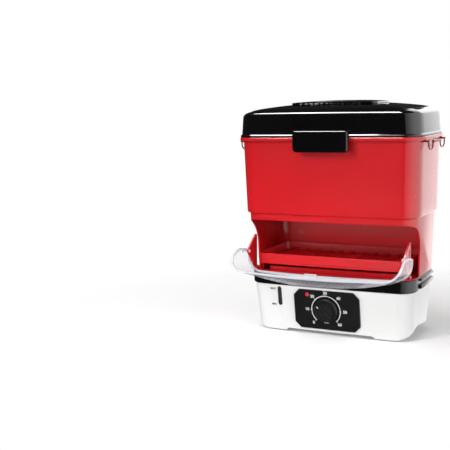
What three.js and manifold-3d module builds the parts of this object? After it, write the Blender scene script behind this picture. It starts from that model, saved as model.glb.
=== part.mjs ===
// Countertop hot dog steamer: a tapered base with the controls, a water reservoir with
// a black collar, a red housing with a sliding tray and a clear drop-down door, a red
// upper container and a black domed lid. Millimetres, +Z up, the front faces -Y.
import * as THREE from 'three';
import { mergeVertices } from 'three/addons/utils/BufferGeometryUtils.js';
import Module from 'manifold-3d';

const wasm = await Module();
wasm.setup();

// Heights of the storeys, from the table upwards
const footPadHeight = 2;
const baseHeight = 78.8;
const collarHeight = 20.9;
const housingHeight = 98.7;
const containerHeight = 119.8;
const rimHeight = 6.1;
const rimBead = 1.5;
const lidSkirtHeight = 38.3;
const lidCrownRise = 15.1;

// Outer widths along X and depths along Y
const baseFootWidth = 266.2;
const baseFootDepth = 117.8;
const baseTopWidth = 276.2;
const baseTopDepth = 137.2;
const collarWidth = 282.4;
const collarDepth = 139;
const housingFootWidth = 281.6;
const housingFootDepth = 135.8;
const housingTopWidth = 288.8;
const housingTopDepth = 143.6;
const containerFootWidth = 296.2;
const containerFootDepth = 149.4;
const containerTopWidth = 301.4;
const containerTopDepth = 155;
const rimOverhang = 5.8;
const lidFootWidth = 305.6;
const lidFootDepth = 159.4;
const lidTopWidth = 300;
const lidTopDepth = 156.4;
const cornerRadius = 26;
const frontBow = 2.3;

// Walls, clearances and cutting overrun
const baseWall = 2.5;
const collarWall = 3;
const housingWall = 2.5;
const containerWall = 2;
const lidWall = 2.5;
const seatGap = 0.3;
const slideGap = 0.8;
const overrun = 8;

// Sides of round pieces by size, and shares of a size
const barSides = 10;
const wideSides = 20;
const padSides = 12;
const thinSides = 8;
const wireSides = 6;
const turnedSides = 24;
const slackShare = 0.9;

// Base shell, its arches and screw bosses
const frontArchWidth = 156;
const frontArchHeight = 4;
const frontArchSlope = 5;
const sideArchFootY = 58.5;
const sideArchBendY = 31;
const sideArchTopY = 12;
const sideArchHeight = 17;
const sideArchRearHeight = 8.5;
const bossRadius = 4;
const bossHeight = 40;
const bossInsetX = 15.1;
const bossInsetY = 36.9;

// Base plate, its feet, pads and screws
const plateThickness = 2.4;
const footColumnRadius = 9;
const frontFootInsetX = 21.1;
const frontFootInsetY = 22.9;
const rearFootInsetX = 33.1;
const rearFootInsetY = 18.9;
const padRadius = 7;
const padGrip = 3;
const screwRadius = 1.7;
const screwLength = 24;
const screwHeadRadius = 3.4;
const screwHeadHeight = 2;
const plateVentLength = 34;
const plateVentWidth = 4;
const plateVentPitch = 10;
const plateVentCount = 5;

// Control panel, indicator, timer and knob
const panelWidth = 113.5;
const panelHeight = 67.2;
const panelChamfer = 10;
const panelThickness = 2.4;
const panelCentreX = -2.2;
const panelCentreZ = 43.5;
const panelProud = 1.5;
const lensRadius = 3.4;
const lensRise = 1.6;
const lensCrownShare = 0.8;
const lensCrownRiseShare = 0.7;
const lensOffsetX = -32.8;
const lensOffsetZ = 25.2;
const lampRadius = 2.2;
const lampLength = 14;
const timerWidth = 44;
const timerDepth = 24;
const timerFlange = 3;
const timerChamfer = 6;
const shaftRadius = 3;
const shaftLength = 20;
const knobSkirtRadius = 20;
const knobSkirtHeight = 3;
const knobEdgeShare = 0.6;
const knobBodyRadius = 14.5;
const knobBodyHeight = 7;
const gripWidth = 7.5;
const gripHeight = 6;
const gripLength = 31;
const dialOffsetX = -1;
const knobGap = 0.6;
const pointerAngle = 135;

// Water level window
const windowX = -85.5;
const windowZ = 61.5;
const windowWidth = 7;
const windowHeight = 33;
const windowDepth = 3.4;
const gasketBorder = 2.6;
const gasketDepth = 3;

// Reservoir inside the collar, its well and its level chamber
const tubWidth = 252;
const tubDepth = 104;
const tubBottomZ = 70.5;
const tubRadius = 18;
const wellWidth = 196;
const wellDepth = 56;
const wellCentreY = 22;
const wellBottomZ = 38;
const sumpWidth = 44;
const sumpDepth = 42;
const sumpCentreX = -86;
const sumpCentreY = -31;
const sumpBottomZ = 42;
const tubWall = 2.4;
const deckDrop = 9;
const sideLipLength = 74;
const sideLipCentreY = 8;
const sideLipProud = 3.6;
const upperLipHeight = 4;
const lowerLipHeight = 7;
const lipSpacing = 9.5;

// Heater under the reservoir's well
const heaterPlateRadius = 22;
const heaterPlateHeight = 4;
const heaterHoleRadius = 16;
const heaterGasketHeight = 1.6;
const elementRadius = 15;
const elementTube = 1.9;
const elementSweep = 300;
const elementSteps = 18;
const thermostatRadius = 6.5;
const thermostatHeight = 3.6;
const fuseRadius = 1.6;
const fuseLength = 16;
const fuseOffsetX = 34;
const terminalWidth = 34;
const terminalDepth = 14;
const terminalHeight = 9;
const terminalPitch = 10.6;
const terminalX = 66;
const terminalY = 30;
const glandRadius = 6.5;
const glandBore = 3.4;
const glandFlange = 2;
const glandDepth = 7.5;
const glandX = 66;
const glandZ = 34;

// Housing, its front opening, ledge and hinge lugs
const sillHeight = 1.5;
const ledgeWidth = 17;
const ledgeLap = 5.1;
const ledgeCornerRadius = 9;
const skirtDepth = 5;
const skirtWall = 2;
const openingSideY = 30;
const openingTopDrop = 11;
const openingRadius = 44;
const lugThickness = 2.8;
const lugRadius = 3.4;
const hingeX = 133.2;
const hingeY = -60;
const hingeZ = 107;
const hingePinRadius = 1.5;
const hingePinHead = 2.4;

// Drip tray, tray rails and hot dog tray
const dripWidth = 232;
const dripDepth = 112;
const dripHeight = 6;
const dripWall = 1.6;
const dripRowY = 28;
const dripHoleRadius = 4;
const dripHoleCount = 6;
const dripHolePitch = 34;
const railWidth = 5;
const railHeight = 11;
const railLength = 104;
const railX = 124;
const trayWidth = 258;
const trayFrontY = -64;
const trayRearY = 58;
const trayHeight = 17;
const trayLipHeight = 3;
const trayLipProud = 2.5;
const trayCorner = 12;
const trayWall = 2;
const trayFloorRise = 3;
const troughCount = 12;
const troughPitch = 20.9;
const troughRidge = 3.2;
const troughRise = 4;
const trayRowY = 30;
const trayHoleRadius = 3;

// Clear door and its red arms
const doorThickness = 2;
const doorRimThickness = 3;
const doorRimWidth = 3;
const doorBottomRise = 12;
const doorBulge = 15;
const doorEdgeGap = 1;
const doorSwing = 78;
const doorLayers = 5;
const catchWidth = 20;
const catchReach = 6;
const catchHeight = 3.4;
const catchBar = 1.8;
const armThickness = 2.8;
const armBar = 6;
const armWebInset = 0.8;
const armTipY = -8;
const armTipZ = 115.5;
const armClipY = -35;
const armClipZ = 139;
const clipRadius = 1.4;
const clipHead = 2.6;

// Upper container, its perforated floor, bun rack and side handles
const containerFloor = 2.5;
const containerSkirtDepth = 8;
const floorHoleRadius = 5;
const floorHoleColumns = 5;
const floorHoleRows = 3;
const floorHolePitchX = 50;
const floorHolePitchY = 38;
const rackWire = 1.5;
const rackBar = 1;
const rackWidth = 276;
const rackDepth = 128;
const rackHeight = 9;
const rackBarCount = 13;
const handleWire = 1.5;
const handleGrip = 2.4;
const handleX = 159.6;
const handleLoopInner = 21;
const handleLoopOuter = 47;
const handleLoopDrop = 15;
const handleGripDrop = 3.4;
const handleLugWidth = 7;
const handleSteps = 24;
const loopSteps = 4;
const loopRiseShare = 0.6;

// Lid, its top plate, tab handle and screws
const lidLipDepth = 6;
const lidLipWall = 1.6;
const lidBeadHeight = 3;
const lidBeadProud = 1.6;
const topPlateWidth = 146;
const topPlateDepth = 78;
const topPlateThickness = 3;
const topPlateRadius = 10;
const ventCount = 12;
const ventPitch = 7;
const ventWidth = 3;
const ventLength = 12;
const ventWellDepth = 6;
const ventRowX = -4;
const ventRowY = -24;
const tabWidth = 93;
const tabHeight = 34.5;
const tabBottomZ = 303.2;
const tabFrontY = -97;
const tabDepth = 11.6;
const tabScrewShare = 0.7;
const tabLowerRadius = 7;
const tabUpperRadius = 3;
const tabNeckWidth = 60;
const tabScrewSpacing = 40;

// Levels worked out from the heights
const baseFootZ = footPadHeight;
const baseTopZ = baseFootZ + baseHeight;
const collarTopZ = baseTopZ + collarHeight;
const housingTopZ = collarTopZ + housingHeight;
const rimBottomZ = housingTopZ + containerHeight;
const rimTopZ = rimBottomZ + rimHeight;
const lidEdgeZ = rimTopZ + lidSkirtHeight;

const finishes = {
  whitePlastic: { color: 0xf0f0ee, roughness: 0.35, metalness: 0 },
  blackPlastic: { color: 0x141414, roughness: 0.25, metalness: 0 },
  redPlastic: { color: 0xd81f29, roughness: 0.3, metalness: 0 },
  clearPlastic: { color: 0xe8eef2, roughness: 0.08, metalness: 0, transparent: true, opacity: 0.35 },
  redLens: { color: 0xe8203a, roughness: 0.15, metalness: 0 },
  rubber: { color: 0x2a2a2a, roughness: 0.8, metalness: 0 },
  steel: { color: 0xb9bcc0, roughness: 0.35, metalness: 1 },
  aluminium: { color: 0xc9ccd0, roughness: 0.45, metalness: 1 },
  palePlastic: { color: 0xd8d4c6, roughness: 0.5, metalness: 0 },
};

const group = new THREE.Group();
group.name = 'hot_dog_steamer';

// Solids from geometries
function toSolid(geometry) {
  const bare = geometry.clone();
  bare.deleteAttribute('normal');
  bare.deleteAttribute('uv');
  const merged = mergeVertices(bare);
  return new wasm.Manifold(new wasm.Mesh({
    numProp: 3,
    vertProperties: new Float32Array(merged.attributes.position.array),
    triVerts: new Uint32Array(merged.index.array),
  }));
}

function toGeometry(solid) {
  const mesh = solid.getMesh();
  const geometry = new THREE.BufferGeometry();
  geometry.setAttribute('position', new THREE.BufferAttribute(mesh.vertProperties, mesh.numProp));
  geometry.setIndex(new THREE.BufferAttribute(mesh.triVerts, 1));
  geometry.computeVertexNormals();
  return geometry;
}

function addPiece(parent, name, solid, finish) {
  const mesh = new THREE.Mesh(toGeometry(solid), new THREE.MeshStandardMaterial(finishes[finish]));
  mesh.name = name;
  parent.add(mesh);
  return mesh;
}

function joined(solids) {
  return solids.reduce((whole, solid) => whole.add(solid));
}

function without(solid, cutters) {
  return cutters.reduce((rest, cutter) => rest.subtract(cutter), solid);
}

// A box between two corners
function block(low, high) {
  const size = high.map((value, axis) => value - low[axis]);
  const geometry = new THREE.BoxGeometry(...size);
  geometry.translate(...high.map((value, axis) => (value + low[axis]) / 2));
  return toSolid(geometry);
}

// A round bar between two points
function bar(from, to, radius, sides = barSides) {
  const start = new THREE.Vector3(...from);
  const along = new THREE.Vector3(...to).sub(start);
  const geometry = new THREE.CylinderGeometry(radius, radius, along.length(), sides);
  geometry.translate(0, along.length() / 2, 0);
  const turn = new THREE.Quaternion();
  turn.setFromUnitVectors(new THREE.Vector3(0, 1, 0), along.clone().normalize());
  geometry.applyQuaternion(turn);
  geometry.translate(start.x, start.y, start.z);
  return toSolid(geometry);
}

// A prism of a flat shape, from low to high along the axis it is named for
const prismSegments = 2;
const sideSegments = 5;
const outlineSegments = 3;

function extruded(shape, depth, curveSegments) {
  return new THREE.ExtrudeGeometry(shape, { depth, bevelEnabled: false, curveSegments });
}

function prismZ(shape, low, high) {
  const geometry = extruded(shape, high - low, prismSegments);
  geometry.translate(0, 0, low);
  return toSolid(geometry);
}

function prismX(shape, low, high) {
  const geometry = extruded(shape, high - low, sideSegments);
  geometry.translate(0, 0, low);
  geometry.rotateY(Math.PI / 2);
  geometry.rotateX(Math.PI / 2);
  return toSolid(geometry);
}

function prismY(shape, low, high) {
  const geometry = extruded(shape, high - low, prismSegments);
  geometry.rotateX(Math.PI / 2);
  geometry.translate(0, high, 0);
  return toSolid(geometry);
}

function polygon(points) {
  return new THREE.Shape(points.map(([x, y]) => new THREE.Vector2(x, y)));
}

function roundedRectangle(width, height, radius) {
  const x = width / 2;
  const y = height / 2;
  const shape = new THREE.Shape();
  shape.moveTo(radius - x, -y);
  shape.lineTo(x - radius, -y);
  shape.absarc(x - radius, radius - y, radius, -Math.PI / 2, 0);
  shape.lineTo(x, y - radius);
  shape.absarc(x - radius, y - radius, radius, 0, Math.PI / 2);
  shape.lineTo(radius - x, y);
  shape.absarc(radius - x, y - radius, radius, Math.PI / 2, Math.PI);
  shape.lineTo(-x, radius - y);
  shape.absarc(radius - x, radius - y, radius, Math.PI, Math.PI * 1.5);
  return shape;
}

// The body's cross-section: a rounded rectangle whose front and back bow outwards
function bodyOutline(halfWidth, halfDepth, radius) {
  const x = halfWidth - radius;
  const y = halfDepth - radius;
  const shape = new THREE.Shape();
  shape.moveTo(-x, -halfDepth);
  shape.quadraticCurveTo(0, -halfDepth - frontBow * 2, x, -halfDepth);
  shape.absarc(x, -y, radius, -Math.PI / 2, 0);
  shape.lineTo(halfWidth, y);
  shape.absarc(x, y, radius, 0, Math.PI / 2);
  shape.quadraticCurveTo(0, halfDepth + frontBow * 2, -x, halfDepth);
  shape.absarc(-x, y, radius, Math.PI / 2, Math.PI);
  shape.lineTo(-halfWidth, -y);
  shape.absarc(-x, -y, radius, Math.PI, Math.PI * 1.5);
  return shape;
}

function section(width, depth, z) {
  return { halfWidth: width / 2, halfDepth: depth / 2, z };
}

// The section at a level between two others, and beyond them on the same slope
function sectionAt(lower, upper, z) {
  const share = (z - lower.z) / (upper.z - lower.z);
  return {
    halfWidth: lower.halfWidth + (upper.halfWidth - lower.halfWidth) * share,
    halfDepth: lower.halfDepth + (upper.halfDepth - lower.halfDepth) * share,
    z,
  };
}

function inset(sections, distance) {
  return sections.map(({ halfWidth, halfDepth, z }) => (
    { halfWidth: halfWidth - distance, halfDepth: halfDepth - distance, z }));
}

// A solid through a stack of sections
function loft(sections, radius = cornerRadius, reshape = null) {
  const [first] = sections;
  const outline = bodyOutline(first.halfWidth, first.halfDepth, radius);
  const steps = sections.length - 1;
  const geometry = new THREE.ExtrudeGeometry(outline, {
    depth: 1, steps, bevelEnabled: false, curveSegments: outlineSegments,
  });
  const places = geometry.attributes.position;
  for (let i = 0; i < places.count; i += 1) {
    const layer = sections[Math.round(places.getZ(i) * steps)];
    const x = places.getX(i) * layer.halfWidth / first.halfWidth;
    const y = places.getY(i) * layer.halfDepth / first.halfDepth;
    places.setXYZ(i, x, reshape ? reshape(x, y, layer.z) : y, layer.z);
  }
  return toSolid(geometry);
}

// The storey's own sections
const baseFoot = section(baseFootWidth, baseFootDepth, baseFootZ);
const baseTop = section(baseTopWidth, baseTopDepth, baseTopZ);
const collarTopSection = section(collarWidth, collarDepth, collarTopZ - seatGap);
const collarFootSection = section(collarWidth, collarDepth, baseTopZ + seatGap);
const housingFoot = section(housingFootWidth, housingFootDepth, collarTopZ);
const housingTop = section(housingTopWidth, housingTopDepth, housingTopZ);
const containerFoot = section(containerFootWidth, containerFootDepth, housingTopZ + seatGap);
const containerTop = section(containerTopWidth, containerTopDepth, rimBottomZ);
const lidFoot = section(lidFootWidth, lidFootDepth, rimTopZ + seatGap);
const lidTop = section(lidTopWidth, lidTopDepth, lidEdgeZ);

// How far the front of a section stands forward at x
function frontY(at, x) {
  const share = Math.min(1, Math.abs(x) / (at.halfWidth - cornerRadius));
  return -at.halfDepth - frontBow * (1 - share * share);
}

const frontTilt = Math.atan((baseTop.halfDepth - baseFoot.halfDepth) / baseHeight);

const bossX = baseFoot.halfWidth - bossInsetX;
const bossY = baseFoot.halfDepth - bossInsetY;

// Base shell: a tapered skirt, open above and below, with arches, bosses and cut-outs
function baseShell() {
  const outer = loft([baseFoot, baseTop]);
  const innerSections = [
    sectionAt(baseFoot, baseTop, baseFootZ - overrun), sectionAt(baseFoot, baseTop, baseTopZ + overrun),
  ];
  const inner = loft(inset(innerSections, baseWall), cornerRadius - baseWall);
  const bosses = [-1, 1].flatMap((side) => [-1, 1].map((end) => {
    const x = side * bossX;
    const y = end * bossY;
    const low = baseFootZ + sideArchHeight + plateThickness + bossRadius;
    const column = bar([x, y, low], [x, y, low + bossHeight], bossRadius);
    const wallX = side * baseTop.halfWidth;
    const webLow = [Math.min(x, wallX), y - baseWall / 2, low];
    const webHigh = [Math.max(x, wallX), y + baseWall / 2, low + bossHeight];
    const bore = bar([x, y, low - overrun], [x, y, low + screwLength], screwRadius + seatGap);
    return column.add(block(webLow, webHigh)).subtract(bore);
  }));
  const front = frontArchWidth / 2;
  const frontArch = prismY(polygon([
    [-front, baseFootZ - overrun], [front, baseFootZ - overrun], [front, baseFootZ],
    [front - frontArchSlope, baseFootZ + frontArchHeight],
    [frontArchSlope - front, baseFootZ + frontArchHeight],
    [-front, baseFootZ],
  ]), -baseTop.halfDepth - overrun, 0);
  const side = new THREE.Shape();
  side.moveTo(-sideArchFootY, baseFootZ - overrun);
  side.lineTo(baseTop.halfDepth + overrun, baseFootZ - overrun);
  side.lineTo(baseTop.halfDepth + overrun, baseFootZ + sideArchRearHeight);
  side.lineTo(-sideArchTopY, baseFootZ + sideArchHeight);
  side.quadraticCurveTo(-sideArchBendY, baseFootZ + sideArchHeight, -sideArchFootY, baseFootZ);
  const reach = baseTop.halfWidth + overrun;
  const sideArch = prismX(side, -reach, reach);
  const windowHole = roundedRectangle(windowWidth + seatGap * 2, windowHeight + seatGap * 2,
    windowWidth / 2 + seatGap);
  const window = windowFrame(windowHole, -overrun, overrun);
  const pocketDepth = panelThickness - panelProud + seatGap;
  const panelPocket = panelFrame(prismY(panelOutline(seatGap), -overrun, pocketDepth));
  const holes = [
    panelFrame(bar([dialOffsetX, 0, 0], [dialOffsetX, overrun, 0], shaftRadius * 2)),
    panelFrame(
      bar([lensOffsetX, 0, lensOffsetZ], [lensOffsetX, overrun, lensOffsetZ], lampRadius + slideGap)),
    bar([glandX, 0, glandZ], [glandX, baseTop.halfDepth + overrun, glandZ], glandRadius + seatGap),
  ];
  const shell = outer.subtract(inner).add(joined(bosses).intersect(outer));
  return without(shell, [frontArch, sideArch, window, panelPocket, ...holes]);
}

// The control panel's tilted frame: the middle of the panel on the shell's face
function panelMatrix() {
  const at = sectionAt(baseFoot, baseTop, panelCentreZ);
  const matrix = new THREE.Matrix4().makeRotationX(frontTilt);
  return matrix.setPosition(panelCentreX, frontY(at, panelCentreX), panelCentreZ);
}

function windowMatrix() {
  const at = sectionAt(baseFoot, baseTop, windowZ);
  const matrix = new THREE.Matrix4().makeRotationX(frontTilt);
  return matrix.setPosition(windowX, frontY(at, windowX), windowZ);
}

function panelFrame(solid) {
  return solid.transform(panelMatrix().elements);
}

function windowFrame(shape, low, high) {
  return prismY(shape, low, high).transform(windowMatrix().elements);
}

function panelOutline(margin) {
  const x = panelWidth / 2 + margin;
  const z = panelHeight / 2 + margin;
  return polygon([
    [-x, panelChamfer - z], [panelChamfer - x, -z], [x - panelChamfer, -z], [x, panelChamfer - z],
    [x, z - panelChamfer], [x - panelChamfer, z], [panelChamfer - x, z], [-x, z - panelChamfer],
  ]);
}

// Base plate with its vents and four foot columns, the front pair near the corners
const plateLowZ = baseFootZ + sideArchHeight + seatGap;
const plateHighZ = plateLowZ + plateThickness;
const frontFootX = baseFoot.halfWidth - frontFootInsetX;
const frontFootY = baseFoot.halfDepth - frontFootInsetY;
const rearFootX = baseFoot.halfWidth - rearFootInsetX;
const rearFootY = baseFoot.halfDepth - rearFootInsetY;
const footPlaces = [
  [-frontFootX, -frontFootY], [frontFootX, -frontFootY], [-rearFootX, rearFootY], [rearFootX, rearFootY],
];

function basePlate() {
  const at = sectionAt(baseFoot, baseTop, plateLowZ);
  const outline = bodyOutline(at.halfWidth - baseWall - slideGap, at.halfDepth - baseWall - slideGap,
    cornerRadius - baseWall);
  const columns = footPlaces.map(([x, y]) => bar([x, y, baseFootZ], [x, y, plateHighZ], footColumnRadius));
  const sockets = footPlaces.map(([x, y]) => (
    bar([x, y, 0], [x, y, baseFootZ + padGrip + seatGap], padRadius / 2 + seatGap)));
  const vents = [];
  for (let i = 0; i < plateVentCount; i += 1) {
    const y = (i - (plateVentCount - 1) / 2) * plateVentPitch;
    const low = [-plateVentLength / 2, y - plateVentWidth / 2, 0];
    vents.push(block(low, [plateVentLength / 2, y + plateVentWidth / 2, plateHighZ + overrun]));
  }
  const screwHoles = screwPlaces().map(([x, y]) => (
    bar([x, y, 0], [x, y, plateHighZ + overrun], screwRadius + seatGap)));
  const plate = joined([prismZ(outline, plateLowZ, plateHighZ), ...columns]);
  return without(plate, [...sockets, ...vents, ...screwHoles]);
}

function screwPlaces() {
  return [-1, 1].flatMap((side) => [-1, 1].map((end) => [side * bossX, end * bossY]));
}

function baseScrew([x, y]) {
  const headTop = plateLowZ - seatGap;
  return joined([
    bar([x, y, headTop - screwHeadHeight], [x, y, headTop], screwHeadRadius),
    bar([x, y, headTop - screwHeadHeight], [x, y, headTop + screwLength], screwRadius, thinSides),
  ]);
}

function footPad([x, y]) {
  return joined([
    bar([x, y, 0], [x, y, baseFootZ - seatGap], padRadius, padSides),
    bar([x, y, 0], [x, y, baseFootZ + padGrip], padRadius / 2),
  ]);
}

// Control panel, indicator and timer, all in the panel's own frame
function controlPanel() {
  const plate = prismY(panelOutline(0), -panelProud, panelThickness - panelProud);
  return without(plate, [
    bar([dialOffsetX, -overrun, 0], [dialOffsetX, overrun, 0], shaftRadius + slideGap),
    bar([lensOffsetX, -overrun, lensOffsetZ], [lensOffsetX, overrun, lensOffsetZ], lensRadius + seatGap),
  ]);
}

// A turned piece whose profile of radius and rise starts at y and faces forward
function turned(profile, x, y, z) {
  const points = profile.map(([radius, rise]) => new THREE.Vector2(radius, rise));
  const geometry = new THREE.LatheGeometry(points, turnedSides);
  geometry.rotateX(Math.PI);
  geometry.translate(x, y, z);
  return toSolid(geometry);
}

function indicatorLens() {
  const shoulder = lensRadius / 2;
  const profile = [
    [0, 0], [lensRadius, 0], [lensRadius, shoulder],
    [lensRadius * lensCrownShare, shoulder + lensRise * lensCrownRiseShare], [0, shoulder + lensRise],
  ];
  return turned(profile, lensOffsetX, panelThickness - panelProud - seatGap, lensOffsetZ);
}

function indicatorLamp() {
  const start = panelThickness - panelProud;
  const end = [lensOffsetX, start + lampLength, lensOffsetZ];
  return bar([lensOffsetX, start, lensOffsetZ], end, lampRadius, padSides);
}

// Clockwork timer behind the shell, with its flange against the inside
const timerFrontY = panelThickness - panelProud + baseWall;

function timerBody() {
  const half = timerWidth / 2;
  const can = polygon([
    [timerChamfer - half, -half], [half - timerChamfer, -half], [half, timerChamfer - half],
    [half, half - timerChamfer], [half - timerChamfer, half], [timerChamfer - half, half],
    [-half, half - timerChamfer], [-half, timerChamfer - half],
  ]);
  const solid = prismY(can, timerFrontY, timerFrontY + timerDepth);
  const flange = prismY(roundedRectangle(timerWidth + timerFlange * 2, timerWidth / 2, timerFlange),
    timerFrontY, timerFrontY + timerFlange / 2);
  const bore = bar([0, -overrun, 0], [0, shaftLength + seatGap, 0], shaftRadius + seatGap);
  return solid.add(flange).subtract(bore).translate([dialOffsetX, 0, 0]);
}

function timerShaft() {
  const front = -panelProud - knobSkirtHeight - knobGap;
  return bar([dialOffsetX, front, 0], [dialOffsetX, shaftLength, 0], shaftRadius);
}

// Knob: a wide skirt, a round body and a grip bar whose square end points at the time
function timerKnob() {
  const back = -panelProud - knobGap;
  const bodyTop = knobSkirtHeight + knobBodyHeight;
  const profile = [
    [0, 0], [knobSkirtRadius, 0], [knobSkirtRadius, knobSkirtHeight * knobEdgeShare],
    [knobSkirtRadius - knobSkirtHeight / 2, knobSkirtHeight], [knobBodyRadius, knobSkirtHeight],
    [knobBodyRadius - knobGap, bodyTop], [0, bodyTop],
  ];
  const turnedBody = turned(profile, 0, back, 0);
  const half = gripLength / 2;
  const grip = new THREE.Shape();
  grip.moveTo(half, -gripWidth / 2);
  grip.lineTo(half, gripWidth / 2);
  grip.lineTo(-half + gripWidth / 2, gripWidth / 2);
  grip.absarc(-half + gripWidth / 2, 0, gripWidth / 2, Math.PI / 2, Math.PI * 1.5);
  const gripTop = back - knobSkirtHeight - knobBodyHeight - gripHeight / 2;
  const gripBar = prismY(grip, gripTop, back - knobSkirtHeight / 2).rotate([0, -pointerAngle, 0]);
  const bore = bar([0, back + overrun, 0], [0, back - knobSkirtHeight - seatGap, 0], shaftRadius + seatGap);
  return turnedBody.add(gripBar).subtract(bore).translate([dialOffsetX, 0, 0]);
}

// Water level window and the gasket behind it
function waterWindow() {
  const outline = roundedRectangle(windowWidth, windowHeight, windowWidth / 2);
  return windowFrame(outline, -seatGap, windowDepth - seatGap);
}

function windowGasket() {
  const border = gasketBorder * 2;
  const outer = roundedRectangle(windowWidth + border, windowHeight + border, windowWidth / 2);
  const width = windowWidth - gasketBorder;
  const bore = roundedRectangle(width, windowHeight - gasketBorder, width / 2);
  const low = windowDepth;
  return windowFrame(outer, low, low + gasketDepth).subtract(
    windowFrame(bore, low - overrun, low + gasketDepth + overrun));
}

// Collar ring on the base, with two lips along each side
function collarRing() {
  const wall = loft([collarFootSection, collarTopSection]);
  const wallInner = loft(inset([
    { ...collarFootSection, z: baseTopZ - overrun }, { ...collarTopSection, z: collarTopZ + overrun },
  ], collarWall), cornerRadius - collarWall);
  const lips = [-1, 1].flatMap((side) => {
    const inner = side * (collarWidth / 2 - collarWall / 2);
    const outer = side * (collarWidth / 2 + sideLipProud);
    const [low, high] = [Math.min(inner, outer), Math.max(inner, outer)];
    const near = sideLipCentreY - sideLipLength / 2;
    const far = sideLipCentreY + sideLipLength / 2;
    const upperTop = collarTopZ - seatGap - upperLipHeight / 2;
    const lowerTop = upperTop - lipSpacing;
    return [
      block([low, near, upperTop - upperLipHeight], [high, far, upperTop]),
      block([low, near, lowerTop - lowerLipHeight], [high, far, lowerTop]),
    ];
  });
  return joined([wall.subtract(wallInner), ...lips]);
}

// A round-cornered basin that is open above, as its outside and its hollow
function openBasin(width, depth, x, y, low, high, radius) {
  const shell = prismZ(roundedRectangle(width, depth, radius), low, high).translate([x, y, 0]);
  const inside = roundedRectangle(width - tubWall * 2, depth - tubWall * 2, radius - tubWall);
  const hollow = prismZ(inside, low + tubWall, high + overrun).translate([x, y, 0]);
  return { shell, hollow };
}

const mouthZ = tubBottomZ - seatGap;

function wellBasin() {
  return openBasin(wellWidth, wellDepth, 0, wellCentreY, wellBottomZ, mouthZ, tubRadius / 2);
}

function sumpBasin() {
  return openBasin(sumpWidth, sumpDepth, sumpCentreX, sumpCentreY, sumpBottomZ, mouthZ, tubRadius / 2);
}

// Reservoir: a deck inside the collar and a tub that is open to the well and the level chamber
function reservoir() {
  const deckZ = collarTopZ - deckDrop;
  const deckSections = [{ ...collarFootSection, z: deckZ - tubWall }, { ...collarTopSection, z: deckZ }];
  const deck = loft(inset(deckSections, collarWall + seatGap), cornerRadius - collarWall - seatGap);
  const tub = openBasin(tubWidth, tubDepth, 0, 0, tubBottomZ, deckZ, tubRadius);
  return without(deck.add(tub.shell), [tub.hollow, wellBasin().hollow, sumpBasin().hollow]);
}

function heaterWell() {
  const { shell, hollow } = wellBasin();
  const hole = heaterBar(wellBottomZ - overrun, wellBottomZ + overrun, heaterHoleRadius);
  return without(shell, [hollow, hole]);
}

function levelChamber() {
  const { shell, hollow } = sumpBasin();
  const width = windowWidth - gasketBorder;
  const outline = roundedRectangle(width, windowHeight - gasketBorder, width / 2);
  const slot = windowFrame(outline, 0, sumpDepth / 2);
  return without(shell, [hollow, slot]);
}

// Heater stack under the well: gasket, plate, tube element, thermostat and fuse
const heaterTopZ = wellBottomZ - seatGap;
const heaterPlateTopZ = heaterTopZ - heaterGasketHeight - seatGap;
const heaterPlateLowZ = heaterPlateTopZ - heaterPlateHeight;

function heaterBar(low, high, radius) {
  return bar([0, wellCentreY, low], [0, wellCentreY, high], radius, wideSides);
}

function heaterGasket() {
  return heaterBar(heaterTopZ - heaterGasketHeight, heaterTopZ, heaterPlateRadius).subtract(
    heaterBar(heaterTopZ - overrun, heaterTopZ + overrun, heaterHoleRadius));
}

function heaterPlate() {
  return heaterBar(heaterPlateLowZ, heaterPlateTopZ, heaterPlateRadius);
}

class ElementPath extends THREE.Curve {
  getPoint(share, target = new THREE.Vector3()) {
    const angle = Math.PI * 1.5 + THREE.MathUtils.degToRad(elementSweep) * (share - 1 / 2);
    const z = heaterPlateLowZ - seatGap - elementTube;
    return target.set(elementRadius * Math.cos(angle), wellCentreY + elementRadius * Math.sin(angle), z);
  }
}

function tube(path, radius, steps, sides) {
  const circle = new THREE.Shape();
  circle.absarc(0, 0, radius, 0, Math.PI * 2);
  const geometry = new THREE.ExtrudeGeometry(circle, {
    extrudePath: path, steps, curveSegments: sides / 2, bevelEnabled: false,
  });
  return toSolid(geometry);
}

function heatingElement() {
  return tube(new ElementPath(), elementTube, elementSteps, thinSides);
}

function thermostat() {
  const top = heaterPlateLowZ - seatGap;
  return heaterBar(top - thermostatHeight, top, thermostatRadius);
}

function thermalFuse() {
  const z = heaterTopZ - fuseRadius;
  const along = (place) => [fuseOffsetX, wellCentreY + place * fuseLength / 2, z];
  return bar(along(-1), along(1), fuseRadius);
}

function terminalBlock() {
  const low = [terminalX - terminalWidth / 2, terminalY - terminalDepth / 2, plateHighZ + seatGap];
  const topZ = plateHighZ + seatGap + terminalHeight;
  const high = [terminalX + terminalWidth / 2, terminalY + terminalDepth / 2, topZ];
  const ports = [-1, 0, 1].map((place) => {
    const x = terminalX + place * terminalPitch;
    const z = topZ - terminalHeight / 2;
    const port = (y) => [x, terminalY + y, z];
    return bar(port(-terminalDepth), port(terminalDepth), screwRadius, thinSides);
  });
  return without(block(low, high), ports);
}

// Cord inlet gland through the back wall
function cordGland() {
  const at = sectionAt(baseFoot, baseTop, glandZ);
  const outside = at.halfDepth + frontBow;
  const end = [glandX, outside + glandFlange, glandZ];
  const sleeve = bar([glandX, outside - glandDepth, glandZ], end, glandRadius);
  const collar = bar([glandX, outside + seatGap * 2, glandZ], end, glandRadius + glandFlange);
  const hole = bar([glandX, 0, glandZ], [glandX, outside + overrun, glandZ], glandBore);
  return sleeve.add(collar).subtract(hole);
}

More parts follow.
